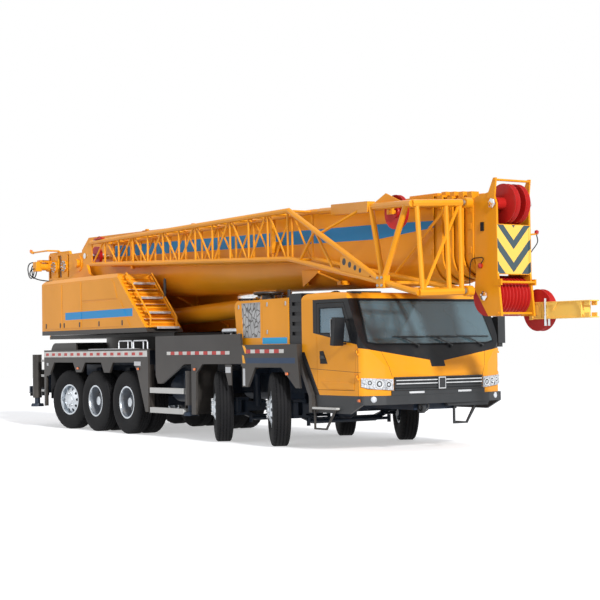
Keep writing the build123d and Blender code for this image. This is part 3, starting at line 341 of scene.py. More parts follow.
def any_of(tree, *masks):
    result = masks[0]
    for mask in masks[1:]:
        result = arithmetic(tree, "MAXIMUM", result, mask)
    return result


def opposite(tree, mask):
    return arithmetic(tree, "SUBTRACT", 1, mask)


def from_middle(tree, y):
    """The distance from the crane's middle plane, the same on both sides."""
    return arithmetic(tree, "ABSOLUTE", y, 0)


def outside(tree, y, reach):
    return above(tree, from_middle(tree, y), reach)


def hood_stripe(tree, x, y, z):
    along = within(tree, x, axle_4 - 1.42, axle_4 + 1.62)
    rise = arithmetic(tree, "SUBTRACT", z, arithmetic(tree, "MULTIPLY", x, 0.004))
    return all_of(tree, along, within(tree, rise, 2.30, 2.455), outside(tree, y, 1.395))


def hood_foot(tree, x, y, z):
    return below(tree, z, hood_low_edge)


def platform_foot(tree, x, y, z):
    """The slewing platform's floor and its ring are dark below the hoods."""
    return below(tree, z, 1.985)


def boom_band(tree, x, y, z):
    """The blue band along the base section's sides: a long part and the taper in front of it."""
    parts = []
    for low_a, low_b, high_a, high_b in (((-1.2, 3.620), (8.3, 3.349), (-1.2, 3.849), (8.3, 3.588)),
                                         ((8.3, 3.349), (9.86, 3.44), (8.3, 3.588), (9.86, 3.53))):
        parts.append(all_of(tree, opposite(tree, below_line(tree, x, z, low_a, low_b)),
                            below_line(tree, x, z, high_a, high_b),
                            within(tree, x, axle_4 + low_a[0], axle_4 + low_b[0])))
    return all_of(tree, any_of(tree, *parts), outside(tree, y, 0.40))


def fender_band(tree, x, y, z):
    """The dark blue band over the first wheel."""
    return all_of(tree, within(tree, x, axle_4 + 5.93, axle_4 + 7.42), within(tree, z, 1.38, 1.47),
                outside(tree, y, 1.495))


def cab_cowl(tree, x, y, z):
    """Black from the V under the windscreen up to the roof's edge, on the front face alone."""
    rise = arithmetic(tree, "MULTIPLY", from_middle(tree, arithmetic(tree, "SUBTRACT", y, 0.05)), 0.155)
    vee = above(tree, arithmetic(tree, "SUBTRACT", z, rise), 1.385)
    notch = all_of(tree, within(tree, y, -0.13, 0.15), above(tree, z, 1.31))
    return all_of(tree, any_of(tree, vee, notch), below(tree, z, 2.385),
                  opposite(tree, below_line(tree, x, z, (9.00, 1.60), (8.70, 2.30))),
                  above(tree, x, axle_4 + 8.68))


def cab_side_glazing(tree, x, y, z):
    """The black field round the side windows, with its lower edge falling towards the front."""
    return all_of(tree, outside(tree, y, 1.33), below(tree, z, 2.385),
                  opposite(tree, below_line(tree, x, z, (7.80, 1.86), (9.40, 1.595))),
                  above(tree, x, axle_4 + 7.80))


def cab_rear_foot(tree, x, y, z):
    """The black frame behind the cab's slanted rear edge."""
    return all_of(tree, below(tree, z, 1.56), below_line(tree, x, z, (7.55, 1.56), (7.95, 0.90)))


def cab_seams(tree, x, y, z):
    """The 6 mm joints between the cab's panels: two on each side and two on the front."""
    upright = within(tree, x, axle_4 + 8.990, axle_4 + 8.996)
    level = all_of(tree, below_line(tree, x, z, (7.775, 1.296), (8.980, 1.243)),
                   opposite(tree, below_line(tree, x, z, (7.775, 1.290), (8.980, 1.237))))
    side_seams = all_of(tree, outside(tree, y, 1.38), below(tree, z, 1.62), any_of(tree, upright, level))
    lean = arithmetic(tree, "SUBTRACT", from_middle(tree, y), arithmetic(tree, "MULTIPLY", z, 0.35))
    front_seams = all_of(tree, within(tree, lean, 0.494, 0.500), within(tree, z, 1.165, 1.60),
                         above(tree, x, axle_4 + 8.9))
    return any_of(tree, side_seams, front_seams)


def handle_recess(tree, x, y, z):
    deep = opposite(tree, outside(tree, y, 1.3985))
    return all_of(tree, deep, outside(tree, y, 1.36), within(tree, z, 1.475, 1.705),
                  within(tree, x, axle_4 + 8.01, axle_4 + 8.27))


def door_fittings(tree, x, y, z):
    """Mirror and arms stand outside the door's own face."""
    return all_of(tree, outside(tree, y, 1.402), above(tree, z, 1.62))


def inside_cab(tree, x, y, z):
    inner = opposite(tree, outside(tree, y, 1.352))
    return all_of(tree, inner, within(tree, x, axle_4 + 7.53, axle_4 + 8.60), within(tree, z, 0.93, 2.452))


def duct_black(tree, x, y, z):
    """The intake duct behind the cab is black, the boom rest beside it is not."""
    return outside(tree, y, 1.0)


cab_stripes = [(cab_cowl, trim_black), (cab_side_glazing, trim_black), (cab_rear_foot, trim_black),
               (cab_seams, trim_black), (inside_cab, (0.05, 0.055, 0.06))]
cab_paint = sprayed("Cab paint", crane_yellow, stripes=cab_stripes)
door_paint = sprayed("Door paint", crane_yellow, stripes=cab_stripes + [
    (handle_recess, trim_black), (door_fittings, trim_black)])
boom_paint = sprayed("Boom paint", crane_yellow, stripes=[(boom_band, stripe_blue)])
grey_paint = sprayed("Carrier grey", carrier_grey, roughness=0.42, coat=0.2, dusty=0.12,
                     stripes=[(fender_band, (0.010, 0.035, 0.085))])
rest_paint = sprayed("Boom rest paint", carrier_grey, roughness=0.42, coat=0.2, dusty=0.12,
                     stripes=[(duct_black, trim_black)])
hood_paint = sprayed("Hood paint", crane_yellow, stripes=[(hood_stripe, (0.004, 0.25, 0.56)),
                                                          (hood_foot, carrier_grey)])
platform_paint = sprayed("Platform paint", crane_yellow, stripes=[(platform_foot, (0.018, 0.015, 0.013))])


def ladder_frames(tree, x, y, z):
    """Everything of the ladders except their treads and rungs."""
    two_steps = all_of(tree, any_of(tree, within(tree, z, 0.445, 0.555), within(tree, z, 0.815, 0.925)),
                       within(tree, x, axle_4 + 2.462, axle_4 + 5))
    cab_step = all_of(tree, within(tree, z, 0.660, 0.692), above(tree, x, axle_4 + 5))
    rungs = below(tree, x, axle_4 - 2.332)
    return opposite(tree, any_of(tree, two_steps, cab_step, rungs))


ladder_paint = sprayed("Ladder paint", (0.50, 0.50, 0.48), dusty=0.1, stripes=[(ladder_frames, carrier_grey)])


def cover_plate(tree, x, y, z):
    return all_of(tree, within(tree, x, axle_4 + 6.30, axle_4 + 7.05), within(tree, z, 1.70, 1.805),
                outside(tree, y, 1.395))


cover_paint = sprayed("Engine cover paint", crane_yellow, stripes=[(cover_plate, (0.02, 0.36, 0.68))])
print("striped paints:", len(bpy.data.materials) - 4)

# %% [markdown]
# Rubber is matt and nearly black, but road dust greys it. Chrome and bare steel are the same metal and differ
# by their roughness. Glass is tinted and partly mirrors the sky, and real refraction would only make it
# slower and darker, so it is a thin, half clear sheet. Each finish has a little noise in its colour or gloss.

# %% Rubber, metal, plastic and glass
def rubber(name, colour=(0.009, 0.009, 0.010)):
    material, tree, shader = new_material(name)
    place, _ = object_place(tree)
    dusted = mix_colour(tree, spread(tree, noise(tree, place, 6.0, 6.0), 0.45, 0.8, 0, 0.35), colour,
                        (0.020, 0.019, 0.017))
    tree.links.new(dusted, shader.inputs["Base Color"])
    set_inputs(shader, {"Roughness": 0.78, "Specular IOR Level": 0.2})
    add_bump(tree, shader, noise(tree, place, 160.0, 3.0), 0.25, 0.002)
    return material


def metal(name, colour, roughness):
    material, tree, shader = new_material(name)
    place, _ = object_place(tree)
    worn = mix_colour(tree, spread(tree, noise(tree, place, 9.0, 5.0), 0.4, 0.75), colour,
                      tuple(c * 0.72 for c in colour))
    tree.links.new(worn, shader.inputs["Base Color"])
    shader.inputs["Metallic"].default_value = 1.0
    tree.links.new(spread(tree, noise(tree, place, 22.0, 4.0), 0.3, 0.7, roughness * 0.8, roughness * 1.3),
                   shader.inputs["Roughness"])
    add_bump(tree, shader, noise(tree, place, 240.0, 2.0), 0.08, 0.001)
    return material


def moulded(name, colour, roughness=0.5):
    """Plastic with a fine moulded grain."""
    material, tree, shader = new_material(name)
    place, _ = object_place(tree)
    shade = mix_colour(tree, spread(tree, noise(tree, place, 4.0, 4.0), 0.4, 0.75, 0, 0.5), colour,
                       tuple(c * 1.5 + 0.01 for c in colour))
    tree.links.new(shade, shader.inputs["Base Color"])
    shader.inputs["Roughness"].default_value = roughness
    add_bump(tree, shader, noise(tree, place, 300.0, 2.0), 0.2, 0.001)
    return material


def tinted_glass(name, colour, opacity):
    """Window glass: a dark mirror that lets part of the cab show through."""
    material, tree, shader = new_material(name)
    place, _ = object_place(tree)
    streaks = mix_colour(tree, spread(tree, noise(tree, place, 1.2, 2.0), 0.4, 0.7), colour,
                         tuple(min(1, c * 1.25) for c in colour))
    tree.links.new(streaks, shader.inputs["Base Color"])
    set_inputs(shader, {"Roughness": 0.04, "Specular IOR Level": 0.8, "Alpha": opacity, "Coat Weight": 0.6})
    return material


black_rubber = rubber("Tyre rubber")
hose_rubber = rubber("Hose rubber", (0.012, 0.012, 0.013))
bright_steel = metal("Polished rod", (0.78, 0.79, 0.80), 0.14)
wheel_silver = metal("Wheel silver", (0.62, 0.66, 0.70), 0.35)
dull_steel = metal("Bare steel", (0.42, 0.42, 0.42), 0.45)
step_silver = metal("Step aluminium", (0.70, 0.71, 0.73), 0.42)
deck_black = moulded("Moulded black", (0.014, 0.016, 0.018), 0.48)
# Painted shade: the handle pockets are near-black, darker than the trim, as shade falls into them.
pocket_shade_black = moulded("Pocket painted shade", (0.003, 0.003, 0.004), 0.8)
seat_cloth = moulded("Seat cloth", (0.035, 0.04, 0.05), 0.8)
rim_grey = sprayed("Rim grey", (0.16, 0.18, 0.21), roughness=0.4, coat=0.2, dusty=0.5)
cab_window = tinted_glass("Cab window", (0.10, 0.19, 0.25), 0.72)
operator_window = tinted_glass("Operator window", (0.06, 0.12, 0.16), 0.7)
print("finishes so far:", len(bpy.data.materials))

# %% [markdown]
# Every node of the frame gets its finish through its own material slot. The list below reads like a paint
# shop's order sheet: a finish, and the first words of the names that get it. Where two lines fit a name, the
# later one counts.

# %% Paint the frame
paint_order = [
    (yellow_paint, ["boom_", "jib", "auxiliary_nose", "counterweight", "operator_cab", "operator_door",
                    "lift_barrel"]),
    (platform_paint, ["slewing_platform"]),
    (boom_paint, ["boom_base"]),
    (cab_paint, ["cab_shell"]),
    (door_paint, ["cab_door"]),
    (hood_paint, ["hoods"]),
    (grey_paint, ["deck_fenders", "beam_"]),
    (rest_paint, ["boom_rest"]),
    (navy_paint, ["chassis_frame", "axle_beams", "knuckle", "jack_", "tanks", "engine"]),
    (cover_paint, ["engine_covers"]),
    (red_paint, ["top_sheaves", "lower_sheaves", "auxiliary_sheave"]),
    (bright_steel, ["lift_rod"]),
    (dull_steel, ["winch_"]),
    (ladder_paint, ["side_steps"]),
    (deck_black, ["front_trim", "cab_interior"]),
    (seat_cloth, ["operator_seat"]),
    (wheel_silver, ["headlamps"]),
    (cab_window, ["cab_glass"]),
    (operator_window, ["operator_glass"]),
    (black_rubber, ["wheel_"]),
]


def give_finish(node, material):
    if not node.material_slots:
        node.data.materials.append(material)
    for slot in node.material_slots:
        slot.material = material


for name, node in nodes.items():
    for material, starts in paint_order:
        if any(name.startswith(start) for start in starts):
            give_finish(node, material)
print("painted", len(nodes), "nodes")

# %% [markdown]
# ## Tools for making shapes
#
# Everything on a crane is a plate, a pipe or a turned part, so a few small helpers go a long way: a block, a
# prism (a flat outline given some thickness), a pipe bent along a path, and a profile turned about an axle.
# Ready-made operators could add such shapes one object at a time. These helpers add each one as a closed
# shell to a mesh that is being collected, which is faster and gives one piece in the end.

# %% Blocks, prisms, pipes and turned parts
def new_meshes(count):
    """Empty meshes, one for each piece that is collected at the same time."""
    return [bmesh.new() for _ in range(count)]


def add_shell(bm, points, faces):
    """Add one closed shell from its points and faces."""
    made = [bm.verts.new(point) for point in points]
    for face in faces:
        bm.faces.new([made[index] for index in face])


def add_slab(bm, points):
    """A shell between two outlines of equal length, which are given one after the other."""
    count = len(points) // 2
    faces = [list(range(count))[::-1], list(range(count, 2 * count))]
    for index in range(count):
        after = (index + 1) % count
        faces.append([index, after, count + after, count + index])
    add_shell(bm, points, faces)


def add_ring_of_slices(bm, slices):
    """A shell that joins equal closed slices, the last one to the first again."""
    count = len(slices[0])
    faces = []
    for step in range(len(slices)):
        here = step * count
        there = (step + 1) % len(slices) * count
        for index in range(count):
            after = (index + 1) % count
            faces.append([here + index, here + after, there + after, there + index])
    add_shell(bm, [point for points in slices for point in points], faces)


def add_prism(bm, outline, low, high, seen_from):
    """An outline with thickness: seen from the side (x, z), the front (y, z) or the top (x, y)."""
    place = {
        "side": lambda a, b, depth: (a, depth, b),
        "front": lambda a, b, depth: (depth, a, b),
        "top": lambda a, b, depth: (a, b, depth),
    }[seen_from]
    add_slab(bm, [place(a, b, depth) for depth in (low, high) for a, b in outline])


def add_block(bm, low, high):
    add_prism(bm, [(low[0], low[1]), (high[0], low[1]), (high[0], high[1]), (low[0], high[1])],
              low[2], high[2], "top")


def smooth_path(points, steps=6):
    """A smooth curve through every point, for hoses and bent rails."""
    points = [Vector(p) for p in points]
    ends = [points[0] * 2 - points[1]] + points + [points[-1] * 2 - points[-2]]
    path = []
    for a, b, c, d in zip(ends, ends[1:], ends[2:], ends[3:]):
        for step in range(steps):
            t = step / steps
            path.append(0.5 * (2 * b + (c - a) * t + (2 * a - 5 * b + 4 * c - d) * t * t
                               + (3 * b - a - 3 * c + d) * t * t * t))
    return path + [points[-1]]


def add_pipe(bm, path, radius, sides=8):
    """A round tube along a path, closed at both ends, with its rings carried along without twisting."""
    path = [Vector(p) for p in path]
    direction = (path[1] - path[0]).normalized()
    across = direction.orthogonal().normalized()
    points = []
    for index, place in enumerate(path):
        before = path[max(index - 1, 0)]
        after = path[min(index + 1, len(path) - 1)]
        turned_to = (after - before).normalized()
        across = (across - turned_to * across.dot(turned_to)).normalized()
        other = turned_to.cross(across)
        for side in range(sides):
            angle = 2 * pi * side / sides
            points.append(place + (across * cos(angle) + other * sin(angle)) * radius)
    faces = [list(range(sides))[::-1], [len(points) - sides + side for side in range(sides)]]
    for ring in range(len(path) - 1):
        for side in range(sides):
            a = ring * sides + side
            b = ring * sides + (side + 1) % sides
            faces.append([a, b, b + sides, a + sides])
    add_shell(bm, points, faces)


def add_turned(bm, profile, centre, axis, sides=48):
    """A closed profile of (along, radius) points turned about an axle through a centre."""
    axis = Vector(axis).normalized()
    across = axis.orthogonal().normalized()
    other = axis.cross(across)
    slices = []
    for side in range(sides):
        angle = 2 * pi * side / sides
        outwards = across * cos(angle) + other * sin(angle)
        slices.append([Vector(centre) + axis * along + outwards * radius for along, radius in profile])
    add_ring_of_slices(bm, slices)


def round_bar(radius, distance, count=8):
    """The profile of a ring of round bar at a distance from its axle."""
    angles = [2 * pi * k / count for k in range(count)]
    return [(radius * cos(angle), distance + radius * sin(angle)) for angle in angles]


# %% [markdown]
# A finished piece has its place in its mesh and its object at the origin, unturned. Flat faces stay flat and
# round ones are shaded smooth: an angle decides between them. A narrow bevel catches the light on every edge,
# which is what makes sheet metal look like sheet metal. A modifier cuts it, so its width is one number.

# %% Finish a piece
bevel_from = radians(40)


def finish_piece(name, bm, material, body, bevel=0.0, smooth=35):
    """Turn the collected mesh into a piece that rides on a body."""
    bmesh.ops.remove_doubles(bm, verts=bm.verts, dist=0.00002)
    bmesh.ops.dissolve_degenerate(bm, dist=0.00001, edges=bm.edges)
    bmesh.ops.recalc_face_normals(bm, faces=bm.faces)
    mesh = bpy.data.meshes.new(name)
    bm.to_mesh(mesh)
    bm.free()
    mesh.shade_smooth()
    mesh.set_sharp_from_angle(angle=radians(smooth))
    mesh.materials.append(material)
    piece = new_object(name, mesh)
    if bevel:
        rounding = piece.modifiers.new("Edge rounding", "BEVEL")
        rounding.width = bevel
        rounding.segments = 2
        rounding.limit_method = "ANGLE"
        rounding.angle_limit = bevel_from
    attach(piece, body)
    print(f"  {name}: {len(mesh.polygons)} faces on {body}")
    return piece


# %% [markdown]
# Nuts, louvres, rungs and lamps repeat many times. A Geometry Nodes tree places a copy of one small item on
# every point of a mesh and turns it by the point's own "turn" attribute. The tree ends by making the copies
# real, because an export keeps only real faces.

# %% A tree that copies an item onto points
copy_tree = bpy.data.node_groups.new("Copies on points", "GeometryNodeTree")
for label, kind in (("Geometry", "NodeSocketGeometry"), ("Item", "NodeSocketObject"),
                    ("Size", "NodeSocketFloat"), ("Finish", "NodeSocketMaterial")):
    copy_tree.interface.new_socket(label, in_out="INPUT", socket_type=kind)
copy_tree.interface.new_socket("Geometry", in_out="OUTPUT", socket_type="NodeSocketGeometry")
tree_in = copy_tree.nodes.new("NodeGroupInput")
tree_out = copy_tree.nodes.new("NodeGroupOutput")
item_info = copy_tree.nodes.new("GeometryNodeObjectInfo")
turn_read = copy_tree.nodes.new("GeometryNodeInputNamedAttribute")
turn_read.data_type = "FLOAT_VECTOR"
turn_read.inputs["Name"].default_value = "turn"
place_copies = copy_tree.nodes.new("GeometryNodeInstanceOnPoints")
make_real = copy_tree.nodes.new("GeometryNodeRealizeInstances")
set_finish = copy_tree.nodes.new("GeometryNodeSetMaterial")
copy_tree.links.new(tree_in.outputs["Geometry"], place_copies.inputs["Points"])
copy_tree.links.new(tree_in.outputs["Item"], item_info.inputs["Object"])
copy_tree.links.new(item_info.outputs["Geometry"], place_copies.inputs["Instance"])
copy_tree.links.new(turn_read.outputs["Attribute"], place_copies.inputs["Rotation"])
copy_tree.links.new(tree_in.outputs["Size"], place_copies.inputs["Scale"])
copy_tree.links.new(place_copies.outputs[0], make_real.inputs[0])
copy_tree.links.new(make_real.outputs[0], set_finish.inputs["Geometry"])
copy_tree.links.new(tree_in.outputs["Finish"], set_finish.inputs["Material"])
copy_tree.links.new(set_finish.outputs[0], tree_out.inputs[0])
copy_sockets = {item.name: item.identifier for item in copy_tree.interface.items_tree
                if item.in_out == "INPUT"}
print("inputs of the tree:", list(copy_sockets))


def make_copies(name, item, places, material, body, size=1.0, smooth=35):
    """Copies of a small mesh at (point, turn) places, as one plain piece."""
    bmesh.ops.recalc_face_normals(item, faces=item.faces)
    item_mesh = bpy.data.meshes.new(name + " item")
    item.to_mesh(item_mesh)
    item.free()
    item_mesh.shade_smooth()
    item_mesh.set_sharp_from_angle(angle=radians(smooth))
    item_object = new_object(name + " item", item_mesh)
    points = bpy.data.meshes.new(name + " points")
    points.from_pydata([point for point, _ in places], [], [])
    turns = points.attributes.new("turn", "FLOAT_VECTOR", "POINT")
    for index, (_, turn) in enumerate(places):
        turns.data[index].vector = turn
    holder = new_object(name + " holder", points)
    modifier = holder.modifiers.new("Copies", "NODES")
    modifier.node_group = copy_tree
    modifier[copy_sockets["Item"]] = item_object
    modifier[copy_sockets["Size"]] = size
    modifier[copy_sockets["Finish"]] = material
    evaluated = holder.evaluated_get(bpy.context.evaluated_depsgraph_get())
    mesh = bpy.data.meshes.new_from_object(evaluated)
    mesh.name = name
    for spare in (holder, item_object):
        bpy.data.objects.remove(spare)
    piece = new_object(name, mesh)
    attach(piece, body)
    print(f"  {name}: {len(places)} copies on {body}")
    return piece


# %% [markdown]
# ## Wheels
#
# A truck tyre is a turned part whose tread is cut by zigzag grooves. Cutting them out with a boolean would
# leave thin, ragged faces, so we lay a grid round the wheel instead: its columns run across the tyre, and the
# groove columns shift from side to side as the angle goes round. The shoulders get short cross slots.

# %% Sizes of the wheels
tyre_width = 0.315
rim_radius = 0.305
tread_steps = 144
groove_depth = 0.016
groove_width = 0.014
zigzag = 0.011
slot_depth = 0.014
kingpin_track = 1.030
single_track = 1.270
twin_track = 1.290
twin_spacing = 0.345
steer_angles = {1: -28, 2: -28, 5: 10}
disc_bulge = {1: 0.055, 2: 0.055, 5: 0.0}
axle_places = {1: 6.655, 2: 4.848, 3: 1.372, 4: 0.0, 5: -1.340}
both_sides = (("right", -1), ("left", 1))


def sidewall(half):
    """Height above the axle of the tyre's side, from the bead out to the shoulder."""
    bead = [(0.72, 0.001), (0.84, 0.020), (0.86, 0.030)]
    flank = [(0.95, 0.61), (1.00, 0.72), (0.99, 0.80), (0.93, 0.89), (0.90, 0.915), (0.84, 0.955)]
    return ([(half * across, rim_radius + rise) for across, rise in bead]
            + [(half * across, tyre_radius * share) for across, share in flank])


def tyre_columns(step):
    """The (across, radius) points of one slice of the tyre."""
    half = tyre_width / 2
    side = sidewall(half)
    slot = slot_depth if step % 4 < 2 else 0.0
    shoulder = [(half * 0.80, tyre_radius * 0.975 - slot), (half * 0.70, tyre_radius * 0.996 - slot * 0.6)]
    swing = zigzag * (1 if step % 2 else -1)
    tread = []
    for rib in (-1.5, -0.5, 0.5, 1.5):
        middle = rib * half * 0.36 + swing
        sunk = tyre_radius - groove_depth
        tread += [(middle - groove_width / 2, tyre_radius), (middle - groove_width / 3, sunk),
                  (middle + groove_width / 3, sunk), (middle + groove_width / 2, tyre_radius)]
    left = [(-a, r) for a, r in side + shoulder]
    right = (side + shoulder)[::-1]
    inside = [(half * 0.70, rim_radius + 0.0005), (-half * 0.70, rim_radius + 0.0005)]
    return left + tread + right + inside


def add_tyre(bm, place):
    """Add a tyre whose axle runs along Y through the origin, then put it in place."""
    slices = []
    for step in range(tread_steps):
        angle = 2 * pi * step / tread_steps
        slices.append([place @ Vector((radius * cos(angle), across, radius * sin(angle)))
                       for across, radius in tyre_columns(step)])
    add_ring_of_slices(bm, slices)


print("tyre", round(2 * tyre_radius, 3), "m high,", tread_steps, "slices of", len(tyre_columns(0)), "points")


# %% [markdown]
# A single wheel has a polished disc with ten round hand holes and ten nuts round a small hub. Its disc is a
# ring of ten equal sectors, and each sector is a patch of faces from the hole's rim out to the sector's edge.

# %% The disc with hand holes
hole_count = 10
hole_radius = 0.030
hole_circle = 0.222
hole_sides = 16
disc_inner, disc_shoulder, disc_outer = 0.150, 0.262, 0.284
disc_thickness = 0.012


def disc_height(radius):
    """How far the single wheel's disc stands out from the middle of the tyre."""
    if radius > disc_shoulder:
        return 0.030 + (disc_outer - radius) * 2.2
    if radius > disc_inner:
        return 0.078 + (disc_shoulder - radius) * 0.40
    return 0.123


def from_hole(reach, direction):
    """A point at a distance and in a direction from a hand hole's centre, as (radius, angle) on the disc."""
    x = hole_circle + reach * cos(direction)
    y = reach * sin(direction)
    return sqrt(x * x + y * y), atan2(y, x)


def sector_edge(direction):
    """The point on a sector's outline in a direction from its hand hole's centre."""
    half_angle = pi / hole_count
    radius, angle, reach = hole_circle, 0.0, 0.0
    while disc_inner < radius < disc_outer and abs(angle) < half_angle:
        reach += 0.002
        radius, angle = from_hole(reach, direction)
    return min(max(radius, disc_inner), disc_outer), min(max(angle, -half_angle), half_angle)


def add_holed_disc(bm, place, side):
    """Add the disc's two faces, joined round its edges and through its holes."""
    half_angle = pi / hole_count
    corners = [atan2(radius * sin(turn), radius * cos(turn) - hole_circle)
               for radius in (disc_inner, disc_outer) for turn in (-half_angle, half_angle)]
    directions = sorted(corners + [2 * pi * k / hole_sides - pi + 0.001 for k in range(hole_sides)])
    hole = [from_hole(hole_radius, direction) for direction in directions]
    edge = [sector_edge(direction) for direction in directions]
    for sector in range(hole_count):
        middle = 2 * half_angle * sector
        points = []
        for depth in (0, disc_thickness):
            for ring in (hole, edge):
                points += [place @ Vector((radius * cos(middle + angle),
                                           side * (disc_height(radius) - depth),
                                           radius * sin(middle + angle))) for radius, angle in ring]
        count = len(directions)
        faces = []
        for index in range(count):
            after = (index + 1) % count
            faces.append([index, after, count + after, count + index])
            faces.append([2 * count + index, 2 * count + after, 3 * count + after, 3 * count + index])
            faces.append([index, after, 2 * count + after, 2 * count + index])
            faces.append([count + index, count + after, 3 * count + after, 3 * count + index])
        add_shell(bm, points, faces)


print("disc with", hole_count, "hand holes of", round(2000 * hole_radius), "mm")
# %% [markdown]
# The hub is a short turned cap. The twin wheels have a deep dish instead: a bright outer ring, a dark cone
# that runs inwards, and a round hub end in the middle. Both kinds end in the same closed rim under the bead.

# %% Rims, dishes and nuts
def outwards_from(place, side):
    """The direction of a wheel's axle, away from the crane."""
    return place.to_3x3() @ Vector((0, side, 0))


def add_wheel_part(bm, place, side, profile):
    """A turned part; its profile runs outwards from the wheel's middle plane."""
    add_turned(bm, profile, place.translation, outwards_from(place, side))


def add_rim(bm, place, side):
    """The rolled rim that holds the tyre: a closed ring with a lip on each side."""
    half = tyre_width * 0.36
    lip = rim_radius + 0.012
    left = [(-half, rim_radius - 0.001), (-half - 0.006, lip), (-half - 0.014, lip),
            (-half - 0.012, rim_radius - 0.018), (-half + 0.03, rim_radius - 0.026)]
    right = [(-along, radius) for along, radius in reversed(left)]
    add_wheel_part(bm, place, side, left + right)


def nut_places(place, side, circle, out, count):
    """Where the wheel nuts stand, and how they are turned to point outwards."""
    places = []
    turn = outwards_from(place, side).to_track_quat("Z", "Y").to_euler()
    for index in range(count):
        angle = 2 * pi * (index + 0.5) / count
        places.append((place @ Vector((circle * cos(angle), side * out, circle * sin(angle))), turn))
    return places


def wheel_nut():
    """A six-sided nut with a washer foot and a domed end, standing along Z."""
    item = bmesh.new()
    for sides, profile in ((12, [(0, 0.001), (0, 0.021), (0.004, 0.021), (0.005, 0.001)]),
                           (6, [(0.004, 0.001), (0.004, 0.017), (0.026, 0.017), (0.026, 0.001)]),
                           (8, [(0.026, 0.001), (0.026, 0.012), (0.034, 0.010), (0.038, 0.001)])):
        add_turned(item, profile, (0, 0, 0), (0, 0, 1), sides)
    return item


# %% [markdown]
# A single wheel stands at its kingpin, turned by its steering angle, and its disc bulges out on the two front
# axles. A twin wheel is two tyres on one body, and its dish reaches in between them. Each wheel's pieces take
# the place of the frame's plain wheel.

# %% Single and twin wheels
def make_single_wheel(number, side_name, side):
    node = f"wheel_{number}_{side_name}"
    kingpin = at(axle_places[number], side * kingpin_track, tyre_radius)
    turn = Matrix.Rotation(radians(steer_angles[number]), 4, "Z")
    arm = Matrix.Translation((0, side * (single_track - kingpin_track), 0))
    place = Matrix.Translation(kingpin) @ turn @ arm
    tyre = bmesh.new()
    add_tyre(tyre, place)
    tyre_piece = finish_piece(f"tyre_{number}_{side_name}", tyre, black_rubber, node, smooth=28)
    disc = bmesh.new()
    add_rim(disc, place, side)
    face = place @ Matrix.Translation((0, side * disc_bulge[number], 0))
    add_holed_disc(disc, face, side)
    add_wheel_part(disc, face, side, [(0.060, 0.001), (0.060, 0.155), (0.124, 0.155), (0.128, 0.120),
                                      (0.150, 0.104), (0.156, 0.060), (0.160, 0.001)])
    finish_piece(f"disc_{number}_{side_name}", disc, wheel_silver, node, smooth=30)
    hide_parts(node)
    make_copies(f"nuts_{number}_{side_name}", wheel_nut(), nut_places(face, side, 0.135, 0.122, 10),
                bright_steel, node)


def make_twin_wheel(number, side_name, side):
    node = f"wheel_{number}_{side_name}"
    tyres, rims, dish = new_meshes(3)
    for track in (twin_track, twin_track - twin_spacing):
        place = Matrix.Translation(at(axle_places[number], side * track, tyre_radius))
        add_tyre(tyres, place)
        add_rim(rims, place, side)
    outer = Matrix.Translation(at(axle_places[number], side * twin_track, tyre_radius))
    cone = [(0.100, 0.279), (-0.070, 0.262), (-0.085, 0.150), (-0.10, 0.150), (-0.10, 0.284), (0.100, 0.284)]
    hub_case = [(-0.10, 0.001), (-0.10, 0.205), (-0.07, 0.205), (-0.06, 0.118), (0.030, 0.108),
                (0.045, 0.085), (0.050, 0.001)]
    inner_disc = [(-0.250, 0.062), (-0.250, 0.284), (-0.235, 0.284), (-0.225, 0.140), (-0.10, 0.130),
                  (-0.10, 0.062)]
    for profile in (cone, hub_case, inner_disc):
        add_wheel_part(dish, outer, side, profile)
    hub = bmesh.new()
    add_wheel_part(hub, outer, side, [(0.046, 0.001), (0.046, 0.092), (0.060, 0.088), (0.066, 0.074),
                                      (0.067, 0.001)])
    tyre_piece = finish_piece(f"tyres_{number}_{side_name}", tyres, black_rubber, node, smooth=28)
    finish_piece(f"rims_{number}_{side_name}", rims, wheel_silver, node)
    finish_piece(f"dish_{number}_{side_name}", dish, rim_grey, node)
    finish_piece(f"hub_{number}_{side_name}", hub, wheel_silver, node)
    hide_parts(node)
    make_copies(f"nuts_{number}_{side_name}", wheel_nut(), nut_places(outer, side, 0.178, -0.071, 10),
                dull_steel, node)


for number in axle_places:
    for side_name, side in both_sides:
        if number in steer_angles:
            make_single_wheel(number, side_name, side)
        else:
            make_twin_wheel(number, side_name, side)
print("wheels done")

# %% [markdown]
# ## The driver's cab
#
# From here on we work in the crane's own measures: metres forward of the fourth axle, to the left, and up.
# The helpers below only spare us from writing `at` round every corner. Most fittings are the same on both
# sides, so their Y is given for the left, and a side of -1 turns it to the right. A piece that lies on a face
# of the frame stands off it by a hair, the gap, because two faces in one plane would flicker.

# %% Helpers in the crane's own measures
gap = 0.0003
deck_side, deck_top = 1.500, 1.650
cab_side, cover_side, cover_top = 1.400, 1.400, 2.450
hood_side = 1.400
carrier_rear = -3.560


def crane_box(bm, x_span, y_span, z_span, side=1):
    """A block between two planes along each direction."""
    (x_a, x_b), (y_a, y_b), (z_a, z_b) = x_span, y_span, z_span
    add_block(bm, at(x_a, side * y_a, z_a), at(x_b, side * y_b, z_b))


def crane_pipe(bm, points, radius, sides=8, curved=0):
    path = [at(*point) for point in points]
    add_pipe(bm, smooth_path(path, curved) if curved else path, radius, sides)


def from_side(points):
    return [(axle_4 + x, z) for x, z in points]


def from_top(points):
    return [(axle_4 + x, y) for x, y in points]


def side_plate(bm, outline, inner, outer, side=1):
    """A plate seen from the side, between two distances from the crane's middle."""
    add_prism(bm, from_side(outline), side * inner, side * outer, "side")


def edge_pipe(bm, corners, y, radius):
    """A rubber seal: short pipes from corner to corner of an outline seen from the side."""
    for (x_a, z_a), (x_b, z_b) in zip(corners, corners[1:] + corners[:1]):
        crane_pipe(bm, [(x_a, y, z_a), (x_b, y, z_b)], radius, 6)


